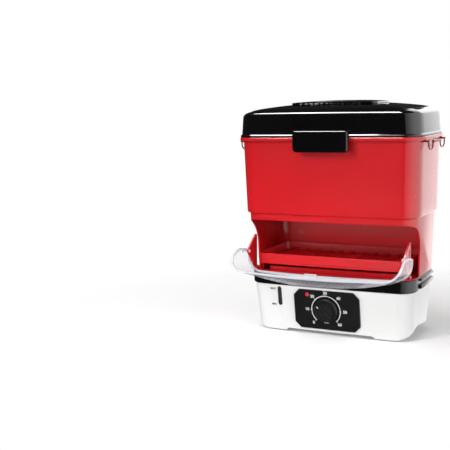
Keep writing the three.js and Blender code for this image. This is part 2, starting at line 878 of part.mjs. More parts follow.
// Front opening of the housing, seen from the side, shrunk by a margin for the door
function openingOutline(margin, bottomZ) {
  const topZ = housingTopZ - openingTopDrop - margin;
  const sideY = -openingSideY - margin;
  const radius = openingRadius - margin;
  const frontEdge = -housingTop.halfDepth - doorBulge - overrun * 2;
  const shape = new THREE.Shape();
  shape.moveTo(frontEdge, bottomZ);
  shape.lineTo(sideY, bottomZ);
  shape.lineTo(sideY, topZ - radius);
  shape.absarc(sideY - radius, topZ - radius, radius, 0, Math.PI / 2);
  shape.lineTo(frontEdge, topZ);
  return shape;
}

// Lower housing: walls, inward ledge, locating skirt and hinge lugs
const ledgeReach = housingFoot.halfDepth - dripDepth / 2 + ledgeLap;

function lowerHousing() {
  const outer = loft([housingFoot, housingTop]);
  const through = [
    sectionAt(housingFoot, housingTop, collarTopZ - overrun),
    sectionAt(housingFoot, housingTop, housingTopZ + overrun),
  ];
  const inner = loft(inset(through, housingWall), cornerRadius - housingWall);
  const sillZ = collarTopZ + sillHeight;
  const cut = prismX(openingOutline(0, sillZ), -housingTopWidth, housingTopWidth);
  const ledgeTop = sectionAt(housingFoot, housingTop, sillZ);
  const ledge = loft(inset([housingFoot, ledgeTop], housingWall / 2), cornerRadius - housingWall / 2);
  const ledgeEdges = through.map((edge) => ({
    ...edge, halfWidth: edge.halfWidth - ledgeWidth, halfDepth: edge.halfDepth - ledgeReach,
  }));
  const ledgeHole = loft(ledgeEdges, ledgeCornerRadius);
  const skirtInset = collarWall + seatGap * 2 + (housingFootWidth - collarWidth) / 2;
  const skirtFoot = sectionAt(housingFoot, housingTop, collarTopZ - skirtDepth);
  const skirt = loft(inset([skirtFoot, housingFoot], skirtInset), cornerRadius - skirtInset);
  const skirtHole = loft(inset(through, skirtInset + skirtWall), cornerRadius - skirtInset - skirtWall);
  const lugs = [-1, 1].map((side) => {
    const near = side * (hingeX - armThickness / 2 - seatGap);
    const far = near - side * lugThickness;
    const [low, high] = [Math.min(near, far), Math.max(near, far)];
    const foot = [low, hingeY - lugRadius, sillZ - sillHeight / 2];
    const base = block(foot, [high, hingeY + lugRadius, hingeZ]);
    const eye = bar([low, hingeY, hingeZ], [high, hingeY, hingeZ], lugRadius);
    const boreRadius = hingePinRadius + seatGap / 2;
    const bore = bar([low - overrun, hingeY, hingeZ], [high + overrun, hingeY, hingeZ], boreRadius);
    return base.add(eye).subtract(bore);
  });
  return joined([
    outer.subtract(inner).subtract(cut), ledge.subtract(ledgeHole), skirt.subtract(skirtHole), ...lugs,
  ]);
}

// A round piece along x at one hinge line, from x out by its reach
function crossPin(side, y, z) {
  return (x, reach, radius) => bar([side * x, y, z], [side * (x + reach), y, z], radius, padSides);
}

function hingePin(side) {
  const inner = hingeX - armThickness / 2 - seatGap - lugThickness - seatGap;
  const outer = hingeX + armThickness / 2 + seatGap;
  const along = crossPin(side, hingeY, hingeZ);
  return joined([
    along(inner - screwHeadHeight / 2, outer - inner + screwHeadHeight, hingePinRadius * slackShare),
    along(inner - screwHeadHeight / 2, screwHeadHeight / 2, hingePinHead),
    along(outer, screwHeadHeight / 2, hingePinHead),
  ]);
}

// Drip tray on the housing's ledge, with steam holes in its floor
const dripLowZ = collarTopZ + sillHeight + seatGap;

function dripTray() {
  const pan = prismZ(roundedRectangle(dripWidth, dripDepth, tubRadius), dripLowZ, dripLowZ + dripHeight);
  const walls = dripWall * 2;
  const inside = roundedRectangle(dripWidth - walls, dripDepth - walls, tubRadius - dripWall);
  const hollow = prismZ(inside, dripLowZ + dripWall, dripLowZ + dripHeight + overrun);
  const holes = [];
  for (let i = 0; i < dripHoleCount; i += 1) {
    for (const row of [-1, 1]) {
      const x = (i - (dripHoleCount - 1) / 2) * dripHolePitch;
      const y = row * dripRowY;
      holes.push(bar([x, y, dripLowZ - overrun], [x, y, dripLowZ + overrun], dripHoleRadius, thinSides));
    }
  }
  return without(pan.subtract(hollow), holes);
}

function trayRail(side) {
  const low = [side * railX - railWidth / 2, -railLength / 2, dripLowZ];
  const high = [side * railX + railWidth / 2, railLength / 2, dripLowZ + railHeight];
  return block(low, high);
}

// Hot dog tray: a shallow pan with ridges between the troughs and a lip along the front
const trayLowZ = dripLowZ + railHeight + seatGap;

function hotDogTray() {
  const half = trayWidth / 2;
  const topZ = trayLowZ + trayHeight;
  const floorZ = trayLowZ + trayFloorRise;
  const middleY = (trayFrontY + trayRearY) / 2;
  const depth = trayRearY - trayFrontY;
  const shell = prismZ(roundedRectangle(trayWidth, depth, trayCorner), trayLowZ + trayLipHeight / 2, topZ);
  const inside = roundedRectangle(trayWidth - trayWall * 2, depth - trayWall * 2, trayCorner - trayWall);
  const pan = shell.subtract(prismZ(inside, floorZ, topZ + overrun)).translate([0, middleY, 0]);
  const lip = new THREE.Shape();
  lip.moveTo(trayCorner - half, trayFrontY);
  lip.quadraticCurveTo(0, trayFrontY - trayLipProud * 2, half - trayCorner, trayFrontY);
  lip.absarc(half - trayCorner, trayFrontY + trayCorner, trayCorner, -Math.PI / 2, 0);
  lip.lineTo(half, trayRearY - trayCorner);
  lip.lineTo(half - trayCorner, trayRearY);
  lip.lineTo(trayCorner - half, trayRearY);
  lip.lineTo(-half, trayRearY - trayCorner);
  lip.absarc(trayCorner - half, trayFrontY + trayCorner, trayCorner, Math.PI, Math.PI * 1.5);
  const base = prismZ(lip, trayLowZ, trayLowZ + trayLipHeight);
  const ridges = [];
  const holes = [];
  for (let i = 0; i <= troughCount; i += 1) {
    const x = (i - troughCount / 2) * troughPitch;
    if (i > 0 && i < troughCount) {
      const foot = floorZ - trayWall / 2;
      const ridge = polygon([[x - troughRidge, foot], [x + troughRidge, foot], [x, floorZ + troughRise]]);
      ridges.push(prismY(ridge, trayFrontY + trayWall / 2, trayRearY - trayWall / 2));
    }
    if (i < troughCount) {
      for (const row of [-1, 1]) {
        const y = middleY + row * trayRowY;
        const place = x + troughPitch / 2;
        const low = [place, y, trayLowZ - overrun];
        holes.push(bar(low, [place, y, floorZ + overrun], trayHoleRadius, thinSides));
      }
    }
  }
  return without(joined([pan, base, ...ridges]), holes);
}

// Clear door, made in its closed place and then swung down to rest open
function bulgeAt(x, y, z) {
  const bottom = hingeZ + doorBottomRise;
  const top = housingTopZ - openingTopDrop - doorEdgeGap;
  const rise = THREE.MathUtils.clamp((z - bottom) / (top - bottom), 0, 1);
  const across = Math.min(1, Math.abs(x) / (housingTop.halfWidth - cornerRadius / 2));
  const front = THREE.MathUtils.clamp((-y - openingSideY) / (housingFoot.halfDepth - openingSideY), 0, 1);
  return y - doorBulge * Math.sin(Math.PI * rise) * (1 - across * across) * front;
}

function doorShell(thickness) {
  const layers = [];
  const bottom = hingeZ + doorBottomRise;
  const top = housingTopZ - openingTopDrop;
  for (let i = -1; i <= doorLayers + 1; i += 1) {
    layers.push(sectionAt(housingFoot, housingTop, bottom + (top - bottom) * i / doorLayers));
  }
  const outer = loft(layers, cornerRadius, bulgeAt);
  const inner = loft(inset(layers, thickness), cornerRadius - thickness, bulgeAt);
  return outer.subtract(inner);
}

function openDoor(solid) {
  return solid.translate([0, -hingeY, -hingeZ]).rotate([doorSwing, 0, 0]).translate([0, hingeY, hingeZ]);
}

function doorWindow() {
  const reach = housingTopWidth;
  const bottom = hingeZ + doorBottomRise;
  const field = prismX(openingOutline(doorEdgeGap, bottom), -reach, reach);
  const inside = prismX(openingOutline(doorEdgeGap + doorRimWidth, bottom + doorRimWidth), -reach, reach);
  const panel = doorShell(doorThickness).intersect(field);
  const rim = doorShell(doorRimThickness).intersect(field.subtract(inside));
  const catchTop = housingTopZ - openingTopDrop - doorEdgeGap - seatGap;
  const catchY = -sectionAt(housingFoot, housingTop, catchTop).halfDepth;
  const half = catchWidth / 2;
  const catchLow = catchTop - catchHeight;
  const slotHigh = [half - catchBar, catchY + catchReach - catchBar, catchTop + overrun];
  const slot = block([catchBar - half, catchY + catchBar, catchLow - overrun], slotHigh);
  const loop = block([-half, catchY, catchLow], [half, catchY + catchReach, catchTop]).subtract(slot);
  const clipHoles = [-1, 1].map((side) => {
    const far = [side * housingTopWidth, armClipY, armClipZ];
    return bar([side * hingeX, armClipY, armClipZ], far, clipRadius + seatGap / 2);
  });
  return openDoor(without(joined([panel, rim, loop]), clipHoles));
}

function doorArm(side) {
  const low = Math.min(side * (hingeX - armThickness / 2), side * (hingeX + armThickness / 2));
  const high = low + armThickness;
  const ends = [[hingeY, hingeZ], [armTipY, armTipZ], [armClipY, armClipZ]];
  const eyes = ends.map(([y, z]) => bar([low, y, z], [high, y, z], armBar / 2));
  const links = [[ends[0], ends[1]], [ends[1], ends[2]], [ends[0], ends[2]]].map(([from, to]) => {
    const length = Math.hypot(to[0] - from[0], to[1] - from[1]);
    const tilt = THREE.MathUtils.radToDeg(Math.atan2(to[1] - from[1], to[0] - from[0]));
    const link = block([low, 0, -armBar / 2], [high, length, armBar / 2]);
    return link.rotate([tilt, 0, 0]).translate([0, from[0], from[1]]);
  });
  const bore = (y, z, radius) => bar([low - overrun, y, z], [high + overrun, y, z], radius);
  const holes = [
    bore(hingeY, hingeZ, hingePinRadius + seatGap), bore(armClipY, armClipZ, clipRadius + seatGap / 2),
  ];
  const web = prismX(polygon(ends), low + armWebInset, high - armWebInset);
  return openDoor(without(joined([...eyes, ...links, web]), holes));
}

function doorClip(side) {
  const inner = hingeX - armThickness / 2 - seatGap;
  const wall = sectionAt(housingFoot, housingTop, armClipZ).halfWidth;
  const along = crossPin(side, armClipY, armClipZ);
  return openDoor(joined([
    along(inner - clipRadius, clipRadius, clipHead),
    along(inner - clipRadius, wall - inner + clipRadius * 2, clipRadius * slackShare),
    along(wall + seatGap, clipRadius, clipHead),
  ]));
}

// Upper container: tapered tub with a rolled rim, a skirt into the housing and steam holes
function upperContainer() {
  const wall = loft([containerFoot, containerTop]);
  const floorZ = containerFoot.z + containerFloor;
  const hollowSections = [
    sectionAt(containerFoot, containerTop, floorZ),
    sectionAt(containerFoot, containerTop, rimTopZ + overrun),
  ];
  const hollow = loft(inset(hollowSections, containerWall), cornerRadius - containerWall);
  const rim = loft([
    rimSection(rimOverhang - rimBead, rimBottomZ), rimSection(rimOverhang, rimBottomZ + rimBead),
    rimSection(rimOverhang, rimTopZ - rimBead), rimSection(rimOverhang - rimBead, rimTopZ),
  ], cornerRadius + rimOverhang);
  const skirtInset = housingWall + slideGap;
  const skirtLow = housingTopZ - containerSkirtDepth;
  const skirtSections = [
    sectionAt(housingFoot, housingTop, skirtLow),
    { ...housingTop, z: containerFoot.z + containerFloor / 2 },
  ];
  const skirt = loft(inset(skirtSections, skirtInset), cornerRadius - skirtInset);
  const holeInset = skirtInset + containerWall + slideGap;
  const holeSections = [{ ...housingTop, z: skirtLow - overrun }, { ...housingTop, z: containerFoot.z }];
  const skirtHole = loft(inset(holeSections, holeInset), cornerRadius - holeInset);
  const holes = [];
  for (let column = 0; column < floorHoleColumns; column += 1) {
    for (let row = 0; row < floorHoleRows; row += 1) {
      const x = (column - (floorHoleColumns - 1) / 2) * floorHolePitchX;
      const y = (row - (floorHoleRows - 1) / 2) * floorHolePitchY;
      holes.push(bar([x, y, skirtLow - overrun], [x, y, floorZ + overrun], floorHoleRadius, thinSides));
    }
  }
  return without(joined([wall, rim]).subtract(hollow).add(skirt.subtract(skirtHole)), holes);
}

function rimSection(overhang, z) {
  return { halfWidth: containerTop.halfWidth + overhang, halfDepth: containerTop.halfDepth + overhang, z };
}

// Bun rack: a wire frame with cross bars and four legs on the container's floor
function bunRack() {
  const floorZ = containerFoot.z + containerFloor + seatGap;
  const z = floorZ + rackHeight;
  const x = rackWidth / 2;
  const y = rackDepth / 2;
  const wires = [
    bar([-x, -y, z], [x, -y, z], rackWire, thinSides), bar([-x, y, z], [x, y, z], rackWire, thinSides),
    bar([-x, -y, z], [-x, y, z], rackWire, thinSides), bar([x, -y, z], [x, y, z], rackWire, thinSides),
  ];
  for (let i = 1; i < rackBarCount; i += 1) {
    const place = -x + rackWidth * i / rackBarCount;
    wires.push(bar([place, -y, z], [place, y, z], rackBar, wireSides));
  }
  for (const side of [-1, 1]) {
    for (const end of [-1, 1]) {
      const legX = side * (x - cornerRadius);
      wires.push(bar([legX, end * y, floorZ], [legX, end * y, z], rackWire, thinSides));
    }
  }
  return joined(wires);
}

// Side handle: a wire with two hanging loops and a thicker grip between them
function sideHandle(side) {
  const topZ = rimBottomZ - seatGap;
  const gripZ = topZ - handleGripDrop;
  const lowZ = topZ - handleLoopDrop;
  const middle = (handleLoopInner + handleLoopOuter) / 2;
  const radius = (handleLoopOuter - handleLoopInner) / 2;
  const loopRise = radius * loopRiseShare;
  const x = side * handleX;
  const points = [[-handleLoopOuter, topZ]];
  const addLoop = (centre) => {
    for (let i = 0; i <= loopSteps; i += 1) {
      const angle = Math.PI * (1 + i / loopSteps);
      points.push([centre + radius * Math.cos(angle), lowZ + loopRise + loopRise * Math.sin(angle)]);
    }
  };
  addLoop(-middle);
  points.push([-handleLoopInner, gripZ], [handleLoopInner, gripZ]);
  addLoop(middle);
  points.push([handleLoopOuter, topZ]);
  const places = points.map(([y, z]) => new THREE.Vector3(x, y, z));
  const route = new THREE.CatmullRomCurve3(places, false, 'centripetal');
  const wire = tube(route, handleWire, handleSteps, wireSides);
  const grip = bar([x, -handleLoopInner, gripZ], [x, handleLoopInner, gripZ], handleGrip, thinSides);
  const inner = side * (containerTop.halfWidth + seatGap);
  const outer = side * (handleX + handleWire);
  const lugs = [-1, 1].map((end) => {
    const y = end * handleLoopOuter;
    return block([Math.min(inner, outer), y - handleLugWidth / 2, topZ - handleWire * 2],
      [Math.max(inner, outer), y + handleLugWidth / 2, topZ]);
  });
  return joined([wire, grip, ...lugs]);
}

// Lid: skirt and dome in one shell, a bead at the foot and a lip inside the rim
const domeShares = [
  { size: 1, rise: 0 }, { size: 0.985, rise: 0.16 }, { size: 0.95, rise: 0.3 },
  { size: 0.83, rise: 0.55 }, { size: 0.56, rise: 0.8 }, { size: 0.3, rise: 0.95 },
  { size: 0.1, rise: 1 },
];

function domeSections(lift, distance) {
  return domeShares.map(({ size, rise }) => ({
    halfWidth: (lidTop.halfWidth - distance) * size,
    halfDepth: (lidTop.halfDepth - distance) * size,
    z: lidEdgeZ + lidCrownRise * rise + lift,
  }));
}

function lidShell() {
  const beadTopZ = lidFoot.z + lidBeadHeight;
  const aboveBead = sectionAt(lidFoot, lidTop, beadTopZ + lidBeadProud);
  const [beadLow, beadHigh] = inset([lidFoot, { ...aboveBead, z: beadTopZ }], -lidBeadProud);
  const outer = loft([beadLow, beadHigh, aboveBead, ...domeSections(0, 0)]);
  const hollowFoot = sectionAt(lidFoot, lidTop, lidFoot.z + lidLipWall);
  const innerSections = [...inset([hollowFoot], lidWall), ...domeSections(-lidWall, lidWall)];
  const inner = loft(innerSections, cornerRadius - lidWall);
  const lipInset = (lidFootWidth - containerTopWidth) / 2 + containerWall + slideGap;
  const lipRadius = cornerRadius - containerWall;
  const lipBetween = (low, high, distance) => loft(
    inset([{ ...lidFoot, z: lidFoot.z + low }, { ...lidFoot, z: lidFoot.z + high }], lipInset + distance),
    lipRadius - distance);
  const lip = lipBetween(-lidLipDepth, lidLipWall / 2, 0);
  const lipHole = lipBetween(-lidLipDepth - overrun, overrun, lidLipWall);
  return without(outer.subtract(inner).add(lip), [lipHole, ventWell(), ...tabScrewHoles()]);
}

// One long cut in the dome feeds all the slots of the plate above it
function ventWell() {
  const half = ventPitch * ventCount / 2;
  return block([ventRowX - half, ventRowY - ventWellDepth / 2, lidEdgeZ],
    [ventRowX + half, ventRowY + ventWellDepth / 2, lidEdgeZ + lidCrownRise + overrun]);
}

function ventSlots() {
  const slots = [];
  for (let i = 0; i < ventCount; i += 1) {
    const x = ventRowX + (i - (ventCount - 1) / 2) * ventPitch;
    const low = [x - ventWidth / 2, ventRowY - ventLength / 2, lidEdgeZ];
    const topZ = lidEdgeZ + lidCrownRise + overrun;
    slots.push(block(low, [x + ventWidth / 2, ventRowY + ventLength / 2, topZ]));
  }
  return slots;
}

function lidTopPlate() {
  const outline = roundedRectangle(topPlateWidth, topPlateDepth, topPlateRadius);
  const column = prismZ(outline, lidEdgeZ, lidEdgeZ + lidCrownRise + overrun);
  const raised = loft([lidFoot, ...domeSections(topPlateThickness + seatGap, 0)]);
  const below = loft([lidFoot, ...domeSections(seatGap, 0)]);
  return without(column.intersect(raised).subtract(below), ventSlots());
}

// Tab handle on the lid's front, reaching down over the rim
const tabScrewZ = (rimTopZ + lidBeadHeight + tabBottomZ + tabHeight) / 2;

function lidTab() {
  const half = tabWidth / 2;
  const topZ = tabBottomZ + tabHeight;
  const shape = new THREE.Shape();
  shape.moveTo(tabLowerRadius - half, tabBottomZ);
  shape.lineTo(half - tabLowerRadius, tabBottomZ);
  shape.absarc(half - tabLowerRadius, tabBottomZ + tabLowerRadius, tabLowerRadius, -Math.PI / 2, 0);
  shape.lineTo(half, topZ - tabUpperRadius);
  shape.absarc(half - tabUpperRadius, topZ - tabUpperRadius, tabUpperRadius, 0, Math.PI / 2);
  shape.lineTo(tabUpperRadius - half, topZ);
  shape.absarc(tabUpperRadius - half, topZ - tabUpperRadius, tabUpperRadius, Math.PI / 2, Math.PI);
  shape.lineTo(-half, tabBottomZ + tabLowerRadius);
  shape.absarc(tabLowerRadius - half, tabBottomZ + tabLowerRadius, tabLowerRadius, Math.PI, Math.PI * 1.5);
  const plate = prismY(shape, tabFrontY, tabFrontY + tabDepth);
  const faceY = frontY(sectionAt(lidFoot, lidTop, tabScrewZ), tabNeckWidth / 2) - seatGap - lidBeadProud;
  const neckLow = [-tabNeckWidth / 2, tabFrontY + tabDepth / 2, rimTopZ + lidBeadHeight];
  const neck = block(neckLow, [tabNeckWidth / 2, faceY, topZ - tabUpperRadius]);
  const screws = [-1, 1].map((side) => {
    const x = side * tabScrewSpacing / 2;
    const start = [x, tabFrontY + tabDepth / 2, tabScrewZ];
    return bar(start, [x, faceY + overrun, tabScrewZ], screwRadius + seatGap);
  });
  return without(plate.add(neck), screws);
}

function tabScrewHoles() {
  return [-1, 1].map((side) => {
    const x = side * tabScrewSpacing / 2;
    const wallY = -lidFoot.halfDepth;
    return bar([x, wallY - overrun, tabScrewZ], [x, wallY + overrun, tabScrewZ], screwRadius + seatGap);
  });
}

function lidScrew(side) {
  const insideY = -sectionAt(lidFoot, lidTop, tabScrewZ).halfDepth + lidWall + seatGap;
  const x = side * tabScrewSpacing / 2;
  const tipY = tabFrontY + tabDepth * tabScrewShare;
  return joined([
    bar([x, insideY, tabScrewZ], [x, insideY + screwHeadHeight, tabScrewZ], screwHeadRadius),
    bar([x, tipY, tabScrewZ], [x, insideY + screwHeadHeight, tabScrewZ], screwRadius, thinSides),
  ]);
}

// The whole steamer, storey by storey
function buildBase(parent) {
  addPiece(parent, 'base_shell', baseShell(), 'whitePlastic');
  addPiece(parent, 'base_plate', basePlate(), 'blackPlastic');
  screwPlaces().forEach((place, i) => addPiece(parent, `base_screw_${i + 1}`, baseScrew(place), 'steel'));
  footPlaces.forEach((place, i) => addPiece(parent, `foot_pad_${i + 1}`, footPad(place), 'rubber'));
  addPiece(parent, 'collar_ring', collarRing(), 'blackPlastic');
  addPiece(parent, 'reservoir', reservoir(), 'blackPlastic');
  addPiece(parent, 'heater_well', heaterWell(), 'blackPlastic');
  addPiece(parent, 'level_chamber', levelChamber(), 'blackPlastic');
  addPiece(parent, 'heater_gasket', heaterGasket(), 'rubber');
  addPiece(parent, 'heater_plate', heaterPlate(), 'aluminium');
  addPiece(parent, 'heating_element', heatingElement(), 'steel');
  addPiece(parent, 'thermostat', thermostat(), 'steel');
  addPiece(parent, 'thermal_fuse', thermalFuse(), 'palePlastic');
  addPiece(parent, 'terminal_block', terminalBlock(), 'palePlastic');
  addPiece(parent, 'cord_gland', cordGland(), 'blackPlastic');
  addPiece(parent, 'water_window', waterWindow(), 'clearPlastic');
  addPiece(parent, 'window_gasket', windowGasket(), 'rubber');
}

function buildControls(parent) {
  const panel = new THREE.Group();
  panel.applyMatrix4(panelMatrix());
  addPiece(panel, 'control_panel', controlPanel(), 'blackPlastic');
  addPiece(panel, 'indicator_lens', indicatorLens(), 'redLens');
  addPiece(panel, 'indicator_lamp', indicatorLamp(), 'palePlastic');
  addPiece(panel, 'timer_body', timerBody(), 'steel');
  addPiece(panel, 'timer_shaft', timerShaft(), 'steel');
  addPiece(panel, 'timer_knob', timerKnob(), 'blackPlastic');
  parent.add(panel);
}

function buildHousing(parent) {
  addPiece(parent, 'lower_housing', lowerHousing(), 'redPlastic');
  addPiece(parent, 'drip_tray', dripTray(), 'redPlastic');
  addPiece(parent, 'hot_dog_tray', hotDogTray(), 'redPlastic');
  addPiece(parent, 'door_window', doorWindow(), 'clearPlastic');
  for (const [side, hand] of [[-1, 'left'], [1, 'right']]) {
    addPiece(parent, `tray_rail_${hand}`, trayRail(side), 'redPlastic');
    addPiece(parent, `hinge_pin_${hand}`, hingePin(side), 'steel');
    addPiece(parent, `door_arm_${hand}`, doorArm(side), 'redPlastic');
    addPiece(parent, `door_clip_${hand}`, doorClip(side), 'clearPlastic');
  }
}

function buildUpper(parent) {
  addPiece(parent, 'upper_container', upperContainer(), 'redPlastic');
  addPiece(parent, 'bun_rack', bunRack(), 'steel');
  addPiece(parent, 'side_handle_left', sideHandle(-1), 'redPlastic');
  addPiece(parent, 'side_handle_right', sideHandle(1), 'redPlastic');
  addPiece(parent, 'lid_shell', lidShell(), 'blackPlastic');
  addPiece(parent, 'lid_top_plate', lidTopPlate(), 'blackPlastic');
  addPiece(parent, 'lid_tab', lidTab(), 'blackPlastic');
  addPiece(parent, 'lid_screw_left', lidScrew(-1), 'steel');
  addPiece(parent, 'lid_screw_right', lidScrew(1), 'steel');
}

buildBase(group);
buildControls(group);
buildHousing(group);
buildUpper(group);

// The origin lies on the table under the middle of the whole object, open door included
group.updateMatrixWorld(true);
const reachBox = new THREE.Box3().setFromObject(group, true);
group.position.y = -(reachBox.min.y + reachBox.max.y) / 2;

export default group;
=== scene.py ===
import math

import bmesh
import bpy
from mathutils import Matrix, Vector


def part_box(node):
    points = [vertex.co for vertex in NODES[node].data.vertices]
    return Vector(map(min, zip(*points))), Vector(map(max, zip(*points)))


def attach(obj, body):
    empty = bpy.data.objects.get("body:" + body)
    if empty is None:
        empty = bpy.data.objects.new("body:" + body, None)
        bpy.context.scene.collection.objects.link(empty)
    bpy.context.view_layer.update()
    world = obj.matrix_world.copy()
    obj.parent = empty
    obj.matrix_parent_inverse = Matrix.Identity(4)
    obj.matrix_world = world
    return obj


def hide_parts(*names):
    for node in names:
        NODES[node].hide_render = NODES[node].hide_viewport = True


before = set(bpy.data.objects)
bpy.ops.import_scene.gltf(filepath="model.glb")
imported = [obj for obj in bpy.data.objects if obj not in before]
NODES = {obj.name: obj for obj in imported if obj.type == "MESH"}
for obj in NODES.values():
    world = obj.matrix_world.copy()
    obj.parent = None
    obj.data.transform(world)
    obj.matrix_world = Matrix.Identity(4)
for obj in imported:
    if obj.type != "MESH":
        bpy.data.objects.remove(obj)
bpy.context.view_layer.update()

# Pieces are built in millimetres round the middle of the base, then moved to the shared frame
MM = 0.001
SHELL_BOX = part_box("base_shell")
SHIFT_Y = (SHELL_BOX[0].y + SHELL_BOX[1].y) / 2 / MM
TO_FRAME = Matrix.Scale(MM, 4) @ Matrix.Translation((0, SHIFT_Y, 0))

# Levels of the storeys, and their sections as half width, half depth and level
SEAT = 0.3
FOOT_Z, BASE_Z, COLLAR_Z, HOUSING_Z = 2.0, 80.8, 101.7, 200.4
RIM_LOW, RIM_TOP, LID_EDGE, LID_CROWN = 320.2, 326.3, 364.6, 15.1
BASE_FOOT, BASE_TOP = (133.1, 58.9, FOOT_Z), (138.1, 68.6, BASE_Z)
COLLAR_LOW, COLLAR_HIGH = (141.2, 69.5, BASE_Z + SEAT), (141.2, 69.5, COLLAR_Z - SEAT)
HOUSING_FOOT, HOUSING_TOP = (140.8, 67.9, COLLAR_Z), (144.4, 71.8, HOUSING_Z)
BOX_FOOT, BOX_TOP = (148.1, 74.7, HOUSING_Z + SEAT), (150.7, 77.5, RIM_LOW)
LID_FOOT, LID_TOP = (152.8, 79.7, RIM_TOP + SEAT), (150.0, 78.2, LID_EDGE)
CORNER, BOW = 26.0, 2.3
WALL = 2.5

# The door's hinge, and where its arms carry it, as y and z
HINGE, ARM_TIP, ARM_CLIP = (-60.0, 107.0), (-8.0, 115.5), (-35.0, 139.0)
DOOR_SWING = 78.0

# A cutter reaches across the whole object, or past one wall, or above the lid
ACROSS, PAST, ABOVE_ALL = 150.0, 8.0, 400.0
SIDES = ((-1, "left"), (1, "right"))

# Distances within which points are one, and angles in degrees: the bend that counts as flat, the
# bends that softening rounds, and those past which shading breaks on domes, shells and all else
POINT_MERGE, EDGE_MERGE, FLAT_BEND = 0.002, 0.005, 0.6
BLUNT, SHARP = 40.0, 50.0
DOME_BREAK, SHELL_BREAK, BREAK, WIDE_BREAK = 26.0, 28.0, 30.0, 32.0

# How many sides a round has, from thin wires to the knob
WIRE_SIDES, RACK_FOOT_SIDES, ROD_SIDES, EYE_SIDES, PAD_SIDES = 12, 14, 24, 32, 40
BORE_SIDES, TURNED_SIDES, KNOB_TOP_SIDES, KNOB_SIDES = 48, 64, 72, 96

# How many strips a rounded edge has
EDGE_STRIPS, SLAB_STRIPS, FINE_STRIPS = 2, 3, 4


def at(low, high, z):
    """The section at a level between two others, or beyond them on the same slope."""
    share = (z - low[2]) / (high[2] - low[2])
    return (low[0] + (high[0] - low[0]) * share, low[1] + (high[1] - low[1]) * share, z)


def shrunk(section, distance, z=None):
    return (section[0] - distance, section[1] - distance, section[2] if z is None else z)


def front_y(section, x):
    """Where the bowed front of a section lies at x."""
    share = min(1.0, abs(x) / (section[0] - CORNER))
    return -section[1] - BOW * (1 - share * share)


def turn_points(centre, radius, start, sweep, steps):
    """Points on an arc, both of its ends with them; start and sweep are in degrees."""
    angles = [math.radians(start + sweep * i / steps) for i in range(steps + 1)]
    return [(centre[0] + radius * math.cos(a), centre[1] + radius * math.sin(a)) for a in angles]


def outline(half_x, half_y, radius, bow=BOW, corner=10, side=10, front=24):
    """The body's cross-section: a rounded rectangle whose front and back bow outwards."""
    x0, y0 = half_x - radius, half_y - radius
    points = []
    for sign in (1, -1):
        for i in range(front):
            x = -x0 + 2 * x0 * i / front
            points.append((sign * x, -sign * (half_y + bow * (1 - (x / x0) ** 2))))
        near = turn_points((x0, -y0), radius, -90, 90, corner)[:-1]
        flank = [(half_x, -y0 + 2 * y0 * i / side) for i in range(side)]
        far = turn_points((x0, y0), radius, 0, 90, corner)[:-1]
        points += [(sign * x, sign * y) for x, y in near + flank + far]
    return points


def rings(loops, closed=False, reshape=None):
    """A skin through loops of points that have the same count; its ends are capped unless it closes."""
    bm = bmesh.new()
    made = []
    for loop in loops:
        made.append([bm.verts.new(reshape(*p) if reshape else p) for p in loop])
    pairs = list(zip(made, made[1:])) + ([(made[-1], made[0])] if closed else [])
    for low, high in pairs:
        for i in range(len(low)):
            j = (i + 1) % len(low)
            bm.faces.new((low[i], low[j], high[j], high[i]))
    if not closed:
        bm.faces.new(made[0])
        bm.faces.new(made[-1])
    bmesh.ops.recalc_face_normals(bm, faces=bm.faces)
    return bm


def ring(section, radius=CORNER, bow=BOW):
    return [(x, y, section[2]) for x, y in outline(section[0], section[1], radius, bow)]


def inner_ring(section, distance, radius=CORNER):
    """A ring that runs a distance inside a section's, its corners round the same centres."""
    return ring(shrunk(section, distance), radius - distance)


def fillet(section, size, top, outwards=False, steps=4, radius=CORNER):
    """Rings that round an edge: from the wall in to the flat, or outwards from the flat to the wall."""
    made = []
    for i in range(steps + 1):
        angle = math.pi / 2 * i / steps
        away, drop = size * (1 - math.cos(angle)), size * (1 - math.sin(angle))
        level = section[2] - drop if top else section[2] + drop
        made.append(ring((section[0] - away, section[1] - away, level), radius - away))
    return made[::-1] if outwards else made


def prism(points, low, high, axis="z"):
    """A prism of flat points: along z over (x, y), along y over (x, z), along x over (y, z)."""
    def spot(u, v, w):
        return {"z": (u, v, w), "y": (u, w, v), "x": (w, u, v)}[axis]
    return rings([[spot(u, v, level) for u, v in points] for level in (low, high)])


def rounded(bm, edges, width, segments, clamp=False):
    """Bevels some edges of a bmesh to a round."""
    bmesh.ops.bevel(bm, geom=edges, offset=width, segments=segments, affect="EDGES", profile=0.5,
                    clamp_overlap=clamp, material=-1)
    return bm


def slab(low, high, round_by=0.0, segments=SLAB_STRIPS):
    """A box between two corners, its edges rounded."""
    bm = bmesh.new()
    size = [h - l for l, h in zip(low, high)]
    middle = [(h + l) / 2 for l, h in zip(low, high)]
    bmesh.ops.create_cube(bm, size=1, matrix=Matrix.Translation(middle) @ Matrix.Diagonal((*size, 1)))
    return rounded(bm, bm.edges[:], round_by, segments) if round_by else bm


def beside(side, near, far, low, high, round_by=0.0, segments=SLAB_STRIPS):
    """A slab on one side: near and far are distances from the middle, low and high its y and z."""
    left, right = sorted((side * near, side * far))
    return slab((left, *low), (right, *high), round_by, segments)


def round_rect(half_x, half_y, radius, centre=(0, 0), steps=8):
    points = []
    for quarter, (sign_x, sign_y) in enumerate(((1, 1), (-1, 1), (-1, -1), (1, -1))):
        middle = (centre[0] + sign_x * (half_x - radius), centre[1] + sign_y * (half_y - radius))
        points += turn_points(middle, radius, 90 * quarter, 90, steps)
    return points


